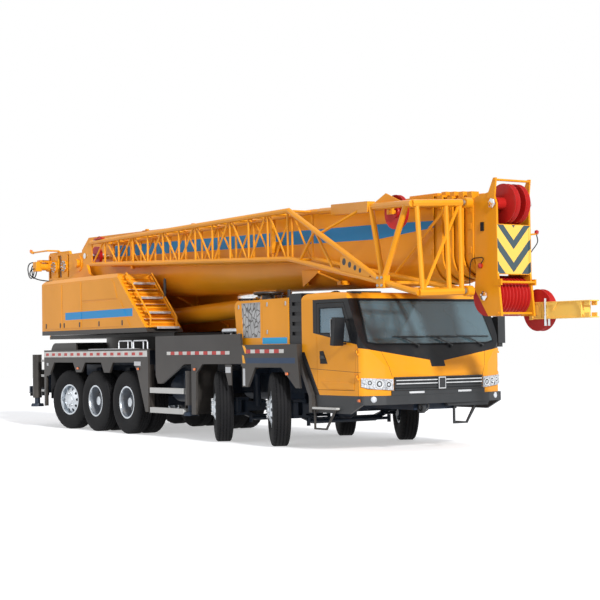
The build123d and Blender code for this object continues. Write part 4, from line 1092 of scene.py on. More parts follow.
# %% [markdown]
# A lamp's lens is coloured plastic with ribs inside. The ribs are only a bump, since they are too fine to see
# as shapes, and a faint glow stands in for the light that a real lens gathers. Reflectors and blank plates
# are plain moulded plastic.

# %% Lenses, reflectors and plates
def lens(name, colour, glow=0.0):
    """The coloured plastic of a lamp, with fine ribs inside it."""
    material, tree, shader = new_material(name)
    place, (x, y, z) = object_place(tree)
    shade = mix_colour(tree, spread(tree, noise(tree, place, 40.0), 0.4, 0.7), colour,
                       tuple(c * 0.6 for c in colour))
    tree.links.new(shade, shader.inputs["Base Color"])
    set_inputs(shader, {"Roughness": 0.15, "Coat Weight": 0.5, "Emission Color": rgba(colour),
                        "Emission Strength": glow})
    ribs = arithmetic(tree, "SINE", arithmetic(tree, "MULTIPLY", z, 900), 0)
    add_bump(tree, shader, ribs, 0.4, 0.001)
    return material


amber_lens = lens("Amber lens", (0.80, 0.16, 0.01), 0.15)
red_lens = lens("Red lens", (0.45, 0.008, 0.006), 0.05)
clear_lens = lens("Clear lens", (0.62, 0.66, 0.70))
marker_white = moulded("Reflector white", (0.55, 0.54, 0.51), 0.4)
marker_red = moulded("Reflector red", (0.42, 0.02, 0.015), 0.4)
blank_plate = moulded("Blank plate", (0.50, 0.51, 0.52), 0.45)
bar_yellow = moulded("Warning yellow", (0.80, 0.36, 0.02), 0.45)
print("finishes now:", len(bpy.data.materials))

# %% [markdown]
# The front of the cab bows out by a few centimetres, so whatever lies on it has to follow one arc. `nose_at`
# gives that arc, and `screen_at` gives a point on the leaning windscreen.

# %% Where the cab's front is
nose_middle = 9.255
nose_half = 1.030
nose_bow = 0.065
nose_arc = (nose_half ** 2 + nose_bow ** 2) / (2 * nose_bow)
corner_slant = 0.378
screen_foot = (9.064, 1.690)
screen_lean = 0.4545
screen_out = (0.91, 0, 0.41)


def nose_at(y, out=0.0):
    """How far forward the cab's nose reaches at a distance from the middle."""
    if abs(y) <= nose_half:
        return nose_middle - nose_arc + sqrt(nose_arc ** 2 - y * y) + out
    return nose_middle - nose_bow - (abs(y) - nose_half) * corner_slant + out / 0.935


def screen_at(y, z, out=0.0):
    """A point on the windscreen at a height, or that far out from it."""
    x = screen_foot[0] - (z - screen_foot[1]) * screen_lean
    return x + out * screen_out[0], y, z + out * screen_out[2]


def nose_strip(bm, y_low, y_high, z_low, z_high, inner, outer, steps=10):
    """A strip that lies along the nose, between two distances out from it."""
    ys = [y_low + (y_high - y_low) * step / steps for step in range(steps + 1)]
    outline = [(nose_at(y, outer), y) for y in ys] + [(nose_at(y, inner), y) for y in reversed(ys)]
    add_prism(bm, from_top(outline), z_low, z_high, "top")


print("the nose stands", round(nose_at(0) - nose_at(1.2), 3), "m further out in the middle than at 1.2 m")

# %% [markdown]
# The windscreen is glued in, so it shows as one dark sheet with a rubber lip round it. The sheet lies a
# millimetre in front of the frame's glass, and the lip is a thin pipe along its corners.

# %% Bonded windscreen with its seal
screen_glass = tinted_glass("Windscreen", (0.10, 0.17, 0.20), 0.42)


def screen_sheet(bm, corners, inner, outer):
    """A sheet that lies on the windscreen's slope, between two distances out from it."""
    add_slab(bm, [at(*screen_at(y, z, out)) for out in (inner, outer) for y, z in corners])


screen_corners = [(-1.265, 1.700), (-1.10, 1.672), (0, 1.660), (1.10, 1.672), (1.265, 1.700),
                  (1.205, 2.350), (-1.205, 2.350)]
seal, bonded = new_meshes(2)
screen_sheet(bonded, screen_corners, 0.0010, 0.0060)
finish_piece("bonded_windscreen", bonded, screen_glass, "carrier")
for (y_a, z_a), (y_b, z_b) in zip(screen_corners, screen_corners[1:] + screen_corners[:1]):
    crane_pipe(seal, [screen_at(y_a, z_a, 0.003), screen_at(y_b, z_b, 0.003)], 0.012, 6)
finish_piece("windscreen_seal", seal, hose_rubber, "carrier")

# %% [markdown]
# Three wipers rest along the windscreen's foot. Each has a hub, a bent arm, a thin second arm that keeps the
# blade level, the blade and its rubber lip. They are pipes whose ends are given on the screen: how far
# sideways from the hub, how high, and how far out.

# %% Three wipers
wipers = bmesh.new()
wiper_pipes = [
    ([(0, 1.630, 0.030), (-0.20, 1.715, 0.040), (-0.36, 1.775, 0.030)], 0.009, 6),
    ([(-0.04, 1.640, 0.030), (-0.26, 1.762, 0.036)], 0.005, 6),
    ([(-0.46, 1.776, 0.024), (0.18, 1.770, 0.024)], 0.008, 6),
    ([(-0.46, 1.768, 0.012), (0.18, 1.762, 0.012)], 0.004, 4),
]
for pivot_y in (-0.31, 0.36, 1.00):
    add_turned(wipers, [(-0.022, 0.002), (-0.022, 0.024), (0.012, 0.020), (0.016, 0.002)],
               at(*screen_at(pivot_y, 1.630, 0.020)), screen_out, 12)
    for path, radius, sides in wiper_pipes:
        crane_pipe(wipers, [screen_at(pivot_y + aside, z, out) for aside, z, out in path], radius, sides)
finish_piece("wipers", wipers, deck_black, "carrier")

# %% [markdown]
# The grille is a dark net behind two chrome bars, with a framed blank plate in its middle. All of it follows
# the nose's arc, so each bar is a `nose_strip`, and the upright wires are narrow strips of the same kind.

# %% Grille
chrome = bmesh.new()
for z in (1.047, 1.099):
    for y_low, y_high in ((-0.86, -0.085), (0.085, 0.86)):
        nose_strip(chrome, y_low, y_high, z, z + 0.018, 0.033, 0.041)
finish_piece("grille_chrome", chrome, bright_steel, "carrier", bevel=0.002)
mesh_bars = bmesh.new()
for step in range(43):
    y = -0.84 + step * 0.04
    if abs(y) > 0.08:
        nose_strip(mesh_bars, y - 0.004, y + 0.004, 0.975, 1.140, 0.012, 0.018, 1)
finish_piece("grille_mesh", mesh_bars, deck_black, "carrier")
centre = bmesh.new()
crane_box(centre, (nose_middle + 0.044, nose_middle + 0.050), (-0.072, 0.072), (0.965, 1.150))
finish_piece("grille_centre_frame", centre, bright_steel, "carrier", bevel=0.004)
blank = bmesh.new()
crane_box(blank, (nose_middle + 0.049, nose_middle + 0.054), (-0.058, 0.058), (0.980, 1.135))
finish_piece("grille_centre_plate", blank, deck_black, "carrier", bevel=0.003)

# %% [markdown]
# Each headlamp has three round lamps behind one glass: a bright rim, a dark well and a small bulb, all turned
# parts that lean outwards as the nose does. The bumper below carries two pale reflectors, the fog lamps and a
# towing ring.

# %% Headlamps and bumper
lamp_rims, lamp_hearts, lamp_dark, fog = new_meshes(4)
for side in (-1, 1):
    for y, z, radius, slant in ((0.985, 1.050, 0.058, 0.06), (1.130, 1.060, 0.068, 0.35),
                                (1.275, 1.080, 0.050, 0.35)):
        lamp_centre = at(nose_at(y, 0.022), side * y, z)
        outwards = Vector((1, side * slant, 0))
        for target, sides, profile in (
                (lamp_rims, 24, [(0, 0.62), (0, 1), (0.006, 1), (0.006, 0.70)]),
                (lamp_dark, 24, [(0, 0.001 / radius), (0, 0.70), (0.003, 0.66), (0.004, 0.001 / radius)]),
                (lamp_hearts, 16, [(0.004, 0.001 / radius), (0.004, 0.40), (0.010, 0.25),
                                   (0.012, 0.001 / radius)])):
            add_turned(target, [(along, share * radius) for along, share in profile], lamp_centre, outwards,
                       sides)
    add_turned(fog, [(-0.004, 0.001), (-0.004, 0.050), (0.010, 0.046), (0.020, 0.028), (0.024, 0.001)],
               at(nose_at(1.22, 0.025), side * 1.22, 0.825), (1, side * corner_slant, 0), 24)
finish_piece("headlamp_rims", lamp_rims, bright_steel, "carrier")
finish_piece("headlamp_wells", lamp_dark, deck_black, "carrier")
finish_piece("headlamp_bulbs", lamp_hearts, clear_lens, "carrier")
finish_piece("fog_lamps", fog, clear_lens, "carrier")
plates = bmesh.new()
for y_low, y_high in ((-0.62, -0.34), (0.34, 0.62)):
    nose_strip(plates, y_low, y_high, 0.905, 0.935, 0.0263, 0.031, 3)
finish_piece("bumper_reflectors", plates, blank_plate, "carrier")
valance, tow_ring = new_meshes(2)
nose_strip(valance, -0.93, 0.93, 0.8803, 0.953, 0.0005, 0.026, 16)
add_turned(tow_ring, round_bar(0.019, 0.072), at(9.20, -0.29, 0.70), (1, -0.3, 0), 28)
finish_piece("bumper_upper_edge", valance, deck_black, "carrier", bevel=0.003)
finish_piece("tow_ring", tow_ring, deck_black, "carrier")

# %% [markdown]
# The doors have a pane with a rubber seal, a pressed panel low down, and a handle in a pocket whose
# near-black is painted shade. All are flat outlines on the door's face, so a table holds them: a name, an
# outline, how far from the middle it starts and ends, its finish and its bevel. They ride on the doors and
# swing with them.

# %% Door panes and handles
door_pane = [(7.981, 1.851), (8.400, 1.851), (8.521, 1.721), (8.817, 1.702), (8.599, 2.249), (7.981, 2.249)]
door_plates = [
    ("door_glass", door_pane, 1.384, 1.390, cab_window, 0),
    ("door_pressing", [(8.03, 1.100), (8.90, 1.075), (8.88, 0.980), (8.23, 0.980)],
     cab_side + gap, cab_side + 0.006, door_paint, 0.004),
    ("door_filler", [(8.021, 1.6995), (8.2395, 1.6995), (8.2592, 1.5008), (8.1005, 1.4812)],
     1.3755, 1.3999, door_paint, 0),
    # The pocket's near-black is painted shade, so that it doesn't catch the sun.
    ("handle_pocket", [(7.975, 1.571), (8.082, 1.576), (8.195, 1.372), (7.988, 1.372)],
     cab_side + gap, cab_side + 0.0015, pocket_shade_black, 0),
    ("door_handle", [(7.990, 1.500), (8.105, 1.500), (8.140, 1.450), (7.995, 1.450)],
     cab_side + 0.0015, cab_side + 0.016, deck_black, 0.004),
]
for side_name, side in both_sides:
    for name, outline, inner, outer, finish, bevel in door_plates:
        plate = bmesh.new()
        side_plate(plate, outline, inner, outer, side)
        finish_piece(f"{name}_{side_name}", plate, finish, f"cab_door_{side_name}", bevel)
    mirror, rubber_edge = new_meshes(2)
    crane_box(mirror, (8.622, 8.628), (1.485, 1.645), (1.690, 2.060), side)
    finish_piece(f"mirror_glass_{side_name}", mirror, bright_steel, f"cab_door_{side_name}", bevel=0.003)
    edge_pipe(rubber_edge, door_pane, side * 1.398, 0.009)
    finish_piece(f"door_seal_{side_name}", rubber_edge, hose_rubber, f"cab_door_{side_name}")

# %% [markdown]
# The left door has a second, wide mirror in front of the first, on two short arms. On the roof are two lamp
# boxes and a hose, which is a smooth curve through four points.

# %% Wide mirror and roof
wide_mirror = bmesh.new()
crane_box(wide_mirror, (8.800, 8.930), (1.500, 1.655), (1.660, 2.100))
for z in (1.69, 2.06):
    crane_pipe(wide_mirror, [(8.80, 1.59, z), (8.74, 1.59, z - 0.008)], 0.012, 8)
crane_box(wide_mirror, (8.78, 8.90), (1.53, 1.62), (1.600, 1.662))
finish_piece("wide_mirror", wide_mirror, deck_black, "cab_door_left", bevel=0.018)
roof_kit, roof_hose = new_meshes(2)
for side in (-1, 1):
    crane_box(roof_kit, (8.52, 8.66), (1.06, 1.24), (2.462, 2.500), side)
crane_pipe(roof_hose, [(7.56, -0.90, 2.47), (7.62, -0.90, 2.515), (7.78, -0.90, 2.525), (7.88, -0.90, 2.49)],
           0.016, 8, 5)
finish_piece("roof_lamp_boxes", roof_kit, deck_black, "carrier", bevel=0.006)
finish_piece("roof_hose", roof_hose, hose_rubber, "carrier")

# %% [markdown]
# Through the windscreen one sees the steering wheel: a ring of round bar, a hub, three spokes and a column.
# The spokes lie in the plane across the wheel's axis, so they are found from two directions at right angles
# to it.

# %% Steering wheel
steering = bmesh.new()
wheel_centre = at(8.62, 0.65, 1.68)
wheel_axis = Vector((-0.55, 0, 0.83)).normalized()
spoke_across = wheel_axis.orthogonal().normalized()
spoke_other = wheel_axis.cross(spoke_across)
add_turned(steering, round_bar(0.018, 0.205), wheel_centre, wheel_axis, 36)
add_turned(steering, [(-0.03, 0.001), (-0.03, 0.05), (0.012, 0.05), (0.012, 0.001)], wheel_centre,
           wheel_axis, 20)
for angle in (0, 2 * pi / 3, 4 * pi / 3):
    reach = (spoke_across * cos(angle) + spoke_other * sin(angle)) * 0.2
    add_pipe(steering, [wheel_centre, wheel_centre + reach], 0.012, 6)
crane_pipe(steering, [(8.63, 0.65, 1.66), (8.80, 0.65, 1.46)], 0.03, 10)
finish_piece("steering_wheel", steering, deck_black, "carrier")

# %% [markdown]
# ## Decks and fenders
#
# Truck cranes carry rows of red and white reflectors. Both sides get the same rows, as thin plates that stand
# a few millimetres proud. Every row is one line of a table: where it starts, how wide a cell is, how many
# cells it has, its height, and which colour comes first.

# %% Reflector rows
strip, red_cells, white_cells = new_meshes(3)
seam = 0.003
on_deck, on_strip = (deck_side + gap, deck_side + 0.004), (deck_side + 0.004, deck_side + 0.008)
for side in (-1, 1):
    crane_box(strip, (-2.295, 2.385), (deck_side + gap, deck_side + 0.005), (1.500, 1.615), side)
    for count in range(15):
        start = -2.19 + count * 0.305
        crane_box(red_cells, (start, start + 0.135), on_strip, (1.530, 1.585), side)
    for start, width, cells, z_span, first_red in ((3.16, 0.149, 15, (1.530, 1.590), False),
                                                   (5.93, 0.146, 8, (1.548, 1.610), True)):
        for count in range(cells):
            target = red_cells if (count % 2 == 0) == first_red else white_cells
            low = start + count * width
            crane_box(target, (low + seam, low + width - seam), on_deck, z_span, side)
for count in range(8):
    target = red_cells if count % 2 else white_cells
    low = -1.24 + count * 0.31
    crane_box(target, (carrier_rear - 0.004, carrier_rear - gap), (low, low + 0.30), (0.765, 0.815))
finish_piece("side_strip", strip, marker_white, "carrier")
finish_piece("red_reflectors", red_cells, marker_red, "carrier", bevel=0.001)
finish_piece("white_reflectors", white_cells, marker_white, "carrier", bevel=0.001)

# %% [markdown]
# Between the reflectors sit small amber lamps in dark seats, blank plates, and the yellow wedges by the cab.
# Behind the last wheels hang mud flaps. They are blocks and flat outlines again, with a place for each in a
# table.

# %% Lamps, blank plates, wedges and mud flaps
amber, dark_seats, blanks, wedges = new_meshes(4)
for side in (-1, 1):
    for x, z, y in ((-0.63, 1.27, deck_side), (2.03, 1.27, deck_side), (4.19, 1.27, deck_side),
                    (7.19, 1.21, deck_side), (9.02, 0.81, cab_side)):
        crane_box(dark_seats, (x - 0.045, x + 0.045), (y + gap, y + 0.006), (z - 0.030, z + 0.030), side)
        crane_box(amber, (x - 0.036, x + 0.036), (y + 0.006, y + 0.020), (z - 0.021, z + 0.021), side)
    for x_span, z_span in (((1.86, 2.12), (1.33, 1.41)), ((-2.17, -2.09), (1.32, 1.38)),
                           ((5.255, 5.425), (1.215, 1.315)), ((5.83, 5.895), (1.00, 1.29))):
        crane_box(blanks, x_span, (deck_side + gap, deck_side + 0.003), z_span, side)
    for outline in ([(5.82, 1.685), (5.89, 1.675), (5.99, 1.545), (5.90, 1.545)],
                    [(5.805, 1.52), (5.86, 1.51), (5.905, 1.38), (5.825, 1.38)]):
        side_plate(wedges, outline, deck_side + gap, deck_side + 0.003, side)
brackets, flaps = new_meshes(2)
for side in (-1, 1):
    side_plate(brackets, [(5.235, 1.358), (5.445, 1.358), (5.445, 1.00), (5.345, 1.00), (5.250, 1.22)],
               deck_side - gap, 1.48, side)
    crane_box(flaps, (-2.050, -2.040), (0.62, 1.46), (0.62, 1.45), side)
    for hanger in ((0.66, 0.70), (1.38, 1.42)):
        crane_box(flaps, (-2.058, -2.032), hanger, (1.40, 1.52), side)
finish_piece("deck_brackets", brackets, grey_paint, "carrier", bevel=0.003)
finish_piece("mud_flaps", flaps, hose_rubber, "carrier", bevel=0.003)
finish_piece("marker_lamp_seats", dark_seats, deck_black, "carrier")
finish_piece("marker_lamps", amber, amber_lens, "carrier", bevel=0.004)
finish_piece("blank_plates", blanks, blank_plate, "carrier")
finish_piece("warning_wedges", wedges, bar_yellow, "carrier")

# %% [markdown]
# The edge of the deck is a walkway: low bent rails, and bright tread plate with rows of raised studs. The
# rails are pipes. The studs are hundreds of equal bumps in staggered rows, which is work for Geometry Nodes.

# %% Deck rails and tread strips
rail_foot, rail_bend, rail_top, tread_top = 1.648, 1.78, 1.81, 1.662
rails, treads = new_meshes(2)
for side in (-1, 1):
    y = side * 1.36
    for x_low, x_high, middle in ((0.95, 1.51, 1.34), (1.57, 2.15, 1.98)):
        bow = [(x_low, rail_foot), (x_low, rail_bend), (x_low + 0.03, rail_top), (x_high - 0.03, rail_top),
               (x_high, rail_bend), (x_high, rail_foot)]
        crane_pipe(rails, [(x, y, z) for x, z in bow], 0.014)
        crane_pipe(rails, [(middle, y, rail_foot), (middle, y, rail_top)], 0.012)
    crane_box(treads, (-0.15, 1.78), (1.30, 1.497), (deck_top + gap, tread_top), side)
finish_piece("deck_rails", rails, step_silver, "carrier")
finish_piece("deck_treads", treads, step_silver, "carrier", bevel=0.003)


def tread_stud():
    item = bmesh.new()
    add_turned(item, [(0.0001, 0.001), (0.0001, 0.011), (0.003, 0.006), (0.004, 0.001)], (0, 0, 0),
               (0, 0, 1), 6)
    return item


stud_places = []
for side in (-1, 1):
    for row in range(4):
        for count in range(44):
            x = -0.12 + count * 0.043 + (row % 2) * 0.021
            stud_places.append((at(x, side * (1.325 + row * 0.045), tread_top), (0, 0, 0)))
make_copies("deck_tread_studs", tread_stud(), stud_places, step_silver, "carrier")

# %% [markdown]
# At the rear, a dark box under the deck holds three lamps on each side: two red ones and an amber one.

# %% Tail lamps
tail_seats, tail_red, tail_amber = new_meshes(3)
lamp_back = carrier_rear - 0.015
for side in (-1, 1):
    crane_box(tail_seats, (lamp_back, carrier_rear - gap), (0.82, 1.28), (0.640, 0.719), side)
    for y_span, target in (((0.84, 0.98), tail_red), ((1.00, 1.12), tail_red), ((1.14, 1.26), tail_amber)):
        crane_box(target, (lamp_back - 0.013, lamp_back), y_span, (0.655, 0.705), side)
    crane_box(tail_seats, (lamp_back, -3.45), (0.80, 1.30), (0.700, 0.7197), side)
finish_piece("tail_lamp_boxes", tail_seats, deck_black, "carrier", bevel=0.003)
finish_piece("tail_lamps_red", tail_red, red_lens, "carrier", bevel=0.003)
finish_piece("tail_lamps_amber", tail_amber, amber_lens, "carrier", bevel=0.003)

# %% [markdown]
# From below one sees the gearbox behind the engine, the shaft that leaves it, and what joins the steered
# wheels of an axle: a beam that drops between them, seen as an outline from the front, and a track rod.

# %% Gearbox, shaft and front axles
gearbox, shafts = new_meshes(2)
crane_box(gearbox, (5.25, 5.95), (-0.33, 0.33), (0.66, 0.92))
add_turned(gearbox, [(0, 0.001), (0, 0.24), (0.10, 0.24), (0.16, 0.16), (0.30, 0.13), (0.30, 0.001)],
           at(5.93, 0, 0.80), (1, 0, 0), 24)
for y in (-0.27, 0.27):
    for x in (5.33, 5.87):
        crane_pipe(gearbox, [(x, y, 0.655), (x, y, 0.64)], 0.014, 6)
crane_pipe(shafts, [(5.26, 0, 0.78), (4.95, 0, 0.70)], 0.045, 16)
drop_beams, track_rods = new_meshes(2)
beam_outline = [(-0.88, 0.54), (-0.66, 0.46), (0.66, 0.46), (0.88, 0.54), (0.88, 0.46), (0.64, 0.355),
                (-0.64, 0.355), (-0.88, 0.46)]
for axle in (axle_places[1], axle_places[2]):
    add_prism(drop_beams, beam_outline, axle_4 + axle - 0.055, axle_4 + axle + 0.055, "front")
    rod_x = axle + 0.16
    crane_pipe(track_rods, [(rod_x, -0.84, 0.40), (rod_x, 0.84, 0.40)], 0.026, 12)
    for y in (-0.84, 0.84):
        crane_pipe(track_rods, [(rod_x, y, 0.33), (rod_x, y, 0.46)], 0.032, 12)
finish_piece("axle_drop_beams", drop_beams, navy_paint, "carrier", bevel=0.012)
finish_piece("track_rods", track_rods, navy_paint, "carrier")
finish_piece("gearbox", gearbox, navy_paint, "carrier", bevel=0.02)
finish_piece("drive_shaft", shafts, dull_steel, "carrier")

# %% [markdown]
# On the right of the front deck lies a bright pressure bottle, one turned part, in two cradles.

# %% Pressure bottle on the front deck
deck_ram, deck_cradles = new_meshes(2)
add_turned(deck_ram, [(0, 0.001), (0, 0.030), (0.02, 0.048), (0.50, 0.048), (0.53, 0.030), (0.53, 0.001)],
           at(4.42, -1.03, 1.945), (1, 0, 0), 24)
for x in (4.50, 4.80):
    crane_box(deck_cradles, (x, x + 0.04), (-1.10, -0.96), (1.8803, 1.925))
finish_piece("deck_accumulator", deck_ram, wheel_silver, "carrier")
finish_piece("deck_cradles", deck_cradles, deck_black, "carrier", bevel=0.003)
print("carrier dressed")

# %% [markdown]
# ## Engine covers
#
# The cooler's screen is a sheet with a net of many-sided holes. A Voronoi pattern has just such cells, and
# the distance to the nearest edge tells wire from hole, so a material can draw what would take thousands of
# faces. The headlamps' glass has the same kind of net, only finer and paler.

# %% Cooler screens
soft_edge = 1.8
screen_face = 1.385


def cell_screen(name, wire, hole, scale, height=1.0, width=0.03):
    """A net of many-sided cells, `height` times as high as they are wide, with wires of a width in cells."""
    material, tree, shader = new_material(name)
    place, _ = object_place(tree)
    squeeze = tree.nodes.new("ShaderNodeVectorMath")
    squeeze.operation = "MULTIPLY"
    squeeze.inputs[1].default_value = (1, 1, 1 / height)
    tree.links.new(place, squeeze.inputs[0])
    cells = tree.nodes.new("ShaderNodeTexVoronoi")
    cells.feature = "DISTANCE_TO_EDGE"
    cells.inputs["Scale"].default_value = scale
    tree.links.new(squeeze.outputs[0], cells.inputs["Vector"])
    is_hole = spread(tree, cells.outputs["Distance"], width, width * soft_edge)
    stained = mix_colour(tree, spread(tree, noise(tree, place, 7.0), 0.4, 0.7), hole,
                         tuple(c * 0.7 for c in hole))
    tree.links.new(mix_colour(tree, is_hole, wire, stained), shader.inputs["Base Color"])
    shader.inputs["Roughness"].default_value = 0.5
    add_bump(tree, shader, is_hole, -0.5, 0.004)
    return material


screen_mesh = cell_screen("Cooler screen", (0.10, 0.095, 0.09), (0.44, 0.44, 0.44), 11.0, height=1.7,
                          width=0.045)
give_finish(nodes["headlamps"], cell_screen("Headlamp glass", (0.10, 0.11, 0.12), (0.55, 0.57, 0.60), 22.0))
screens, frames = new_meshes(2)
for side in (-1, 1):
    crane_box(screens, (5.650, 6.230), (screen_face + gap, 1.392), (1.815, 2.395), side)
    for x_span, z_span in (((5.641, 5.653), (1.806, 2.404)), ((6.227, 6.239), (1.806, 2.404)),
                           ((5.653, 6.227), (1.806, 1.818)), ((5.653, 6.227), (2.392, 2.404))):
        crane_box(frames, x_span, (screen_face + gap, 1.398), z_span, side)
finish_piece("cooler_screens", screens, screen_mesh, "carrier")
finish_piece("cooler_frames", frames, dull_steel, "carrier", bevel=0.002)

# %% [markdown]
# On top of the covers stand the air intake's hat with its ribs, the lying silencer with its straps and pipe,
# and a small bow. The hat and the silencer are turned parts, and the ribs are thin pipes laid round the hat.

# %% Air intake, exhaust and latches
intake_x, intake_y = 6.0, -1.08
intake, silencer, stack = new_meshes(3)
add_turned(intake, [(gap, 0.001), (gap, 0.11), (0.095, 0.11), (0.100, 0.245), (0.112, 0.255), (0.128, 0.250),
                    (0.143, 0.19), (0.147, 0.001)], at(intake_x, intake_y, cover_top), (0, 0, 1), 48)
for rib in range(24):
    turn = rib * pi / 12
    crane_pipe(intake, [(intake_x + reach * cos(turn), intake_y + reach * sin(turn), z)
                        for reach, z in ((0.12, 2.532), (0.24, 2.545))], 0.006, 4)
finish_piece("intake_hat", intake, deck_black, "carrier")
add_turned(silencer, [(-0.60, 0.001), (-0.60, 0.035), (-0.56, 0.060), (0.02, 0.060), (0.05, 0.035),
                      (0.05, 0.001)], at(5.66, -1.08, 2.525), (1, 0, 0), 32)
finish_piece("silencer", silencer, bright_steel, "carrier")
for x in (5.46, 5.62):
    crane_box(stack, (x, x + 0.03), (-1.12, -1.04), (cover_top + gap, 2.475))
crane_pipe(stack, [(6.80, -1.18, cover_top + gap), (6.80, -1.18, 2.595)], 0.028, 14)
crane_pipe(stack, [(6.80, -1.18, cover_top + gap), (6.80, -1.18, 2.475)], 0.045, 14)
crane_pipe(stack, [(6.62, -1.22, cover_top + gap), (6.62, -1.22, 2.50), (6.62, -1.00, 2.50),
                   (6.62, -1.00, cover_top + gap)], 0.012, 8)
finish_piece("cover_top_fittings", stack, deck_black, "carrier")
latches = bmesh.new()
for side in (-1, 1):
    for x, z in ((5.56, 1.86), (5.56, 2.34), (6.46, 2.36), (6.46, 1.90), (7.02, 2.36)):
        crane_box(latches, (x - 0.02, x + 0.02), (cover_side + gap, cover_side + 0.009),
                  (z - 0.035, z + 0.035), side)
finish_piece("cover_latches", latches, dull_steel, "carrier", bevel=0.004)

# %% [markdown]
# ## Superstructure
#
# The hood over the pumps is made of pressed doors. Each is one thin prism with a soft bevel, painted like the
# hood, so that the sprayed stripe runs on across it. Steps, latches and winches come next.

# %% Hood doors and latches
hood_doors, hood_latches = new_meshes(2)
rear_door = [(-2.44, 2.10), (-1.60, 2.10), (-1.60, 3.03), (-2.30, 3.03), (-2.44, 2.90)]
right_doors = [rear_door,
               [(-1.53, 2.10), (-0.66, 2.10), (-0.66, 3.05), (-1.53, 3.04)],
               [(-0.60, 2.66), (0.98, 2.66), (0.84, 2.99), (0.72, 3.05), (-0.60, 3.05)],
               [(-0.60, 2.10), (1.52, 2.10), (1.12, 2.62), (-0.60, 2.62)]]
left_doors = [rear_door, [(-1.53, 2.10), (-0.30, 2.10), (-0.30, 3.05), (-1.53, 3.04)]]
latches_behind, latches_ahead = (-1.47, -0.72, -1.66, -2.38), (0.18, 1.20)
for side, outlines, latch_xs in ((-1, right_doors, latches_behind + latches_ahead),
                                 (1, left_doors, latches_behind)):
    for outline in outlines:
        side_plate(hood_doors, outline, hood_side + gap, hood_side + 0.008, side)
    for x in latch_xs:
        crane_box(hood_latches, (x - 0.022, x + 0.022), (hood_side + 0.008, hood_side + 0.016),
                  (2.12, 2.22), side)
finish_piece("hood_doors", hood_doors, hood_paint, "superstructure", bevel=0.004)
finish_piece("hood_latches", hood_latches, deck_black, "superstructure", bevel=0.004)

# %% [markdown]
# A ladder leads up the slanted front of the hood. `ladder_point` gives a place on that slope, from the head
# down to the foot, and each tread, bar and stud is placed by its share of the way.

# %% Treads on the ladder
face_head, face_foot = (0.960, 3.160), (2.210, 2.000)


def ladder_point(share, out=0.0):
    """A place at a share of the way down the slope, or that far out from it."""
    run, drop = face_foot[0] - face_head[0], face_head[1] - face_foot[1]
    length = sqrt(run * run + drop * drop)
    return (face_head[0] + share * run + out * drop / length,
            face_head[1] - share * drop + out * run / length)


first_tread, tread_pitch, tread_rise = 0.17, 0.255, 0.022
tread_span = (-1.228, -0.747)
ladder = bmesh.new()
stud_places = []
for count in range(4):
    x, z = ladder_point(first_tread + count * tread_pitch, -0.03)
    crane_box(ladder, (x - 0.030, x + 0.196), tread_span, (z + 0.0163, z + tread_rise))
    crane_box(ladder, (x + 0.1903, x + 0.196), tread_span, (z - tread_rise, z + 0.0163))
    for row in range(4):
        for column in range(12):
            stud = at(x + 0.010 + row * 0.05, -1.20 + column * 0.039, z + tread_rise)
            stud_places.append((stud, (0, 0, 0)))
for count in range(3):
    x, z = ladder_point(first_tread + (count + 0.5) * tread_pitch, 0.002)
    crane_box(ladder, (x - 0.03, x + 0.03), (-1.335, -0.690), (z - 0.004, z + 0.004))
finish_piece("ladder_treads", ladder, step_silver, "superstructure", bevel=0.002)
make_copies("ladder_studs", tread_stud(), stud_places, step_silver, "superstructure")
grab = bmesh.new()
rail_x, rail_z = ladder_point(0.50, 0.122)
crane_pipe(grab, [(rail_x, -0.705, rail_z), (rail_x, -0.705, rail_z + 0.36)], 0.020, 10)
crane_pipe(grab, [(rail_x, -0.705, rail_z + 0.06), (rail_x, -0.705, rail_z + 0.34)], 0.030, 12)
finish_piece("grab_post", grab, deck_black, "superstructure")

# %% [markdown]
# Each winch drum is wound with rope. One turn is a small ring, and Geometry Nodes lay a copy of it for every
# turn along the drum, each one tipped a little, as a helix is.

# %% Rope on the winches
rope_steel = metal("Greased rope", (0.16, 0.15, 0.14), 0.5)
rope_half, rope_pitch, drum_width = 0.012, 0.0246, 0.84
main_winch_x, auxiliary_winch_x, winch_z = -3.66, -3.13, 3.53
for body, x, drum in (("winch_main", main_winch_x, 0.220), ("winch_auxiliary", auxiliary_winch_x, 0.180)):
    turn_of_rope = bmesh.new()
    add_turned(turn_of_rope, round_bar(rope_half, drum + rope_half + 0.0005, 6), (0, 0, 0), (0, 1, 0), 40)
    turns = int((drum_width - 2 * rope_half) / rope_pitch)
    places = [(at(x, -0.406 + count * rope_pitch, winch_z), (0.004, 0, 0)) for count in range(turns)]
    make_copies(body + "_rope", turn_of_rope, places, rope_steel, body)

# %% [markdown]
# Outside the main winch is its motor, a turned part, with a block of valves and thick hoses. A hose sags, so
# it is a smooth curve through a few points.

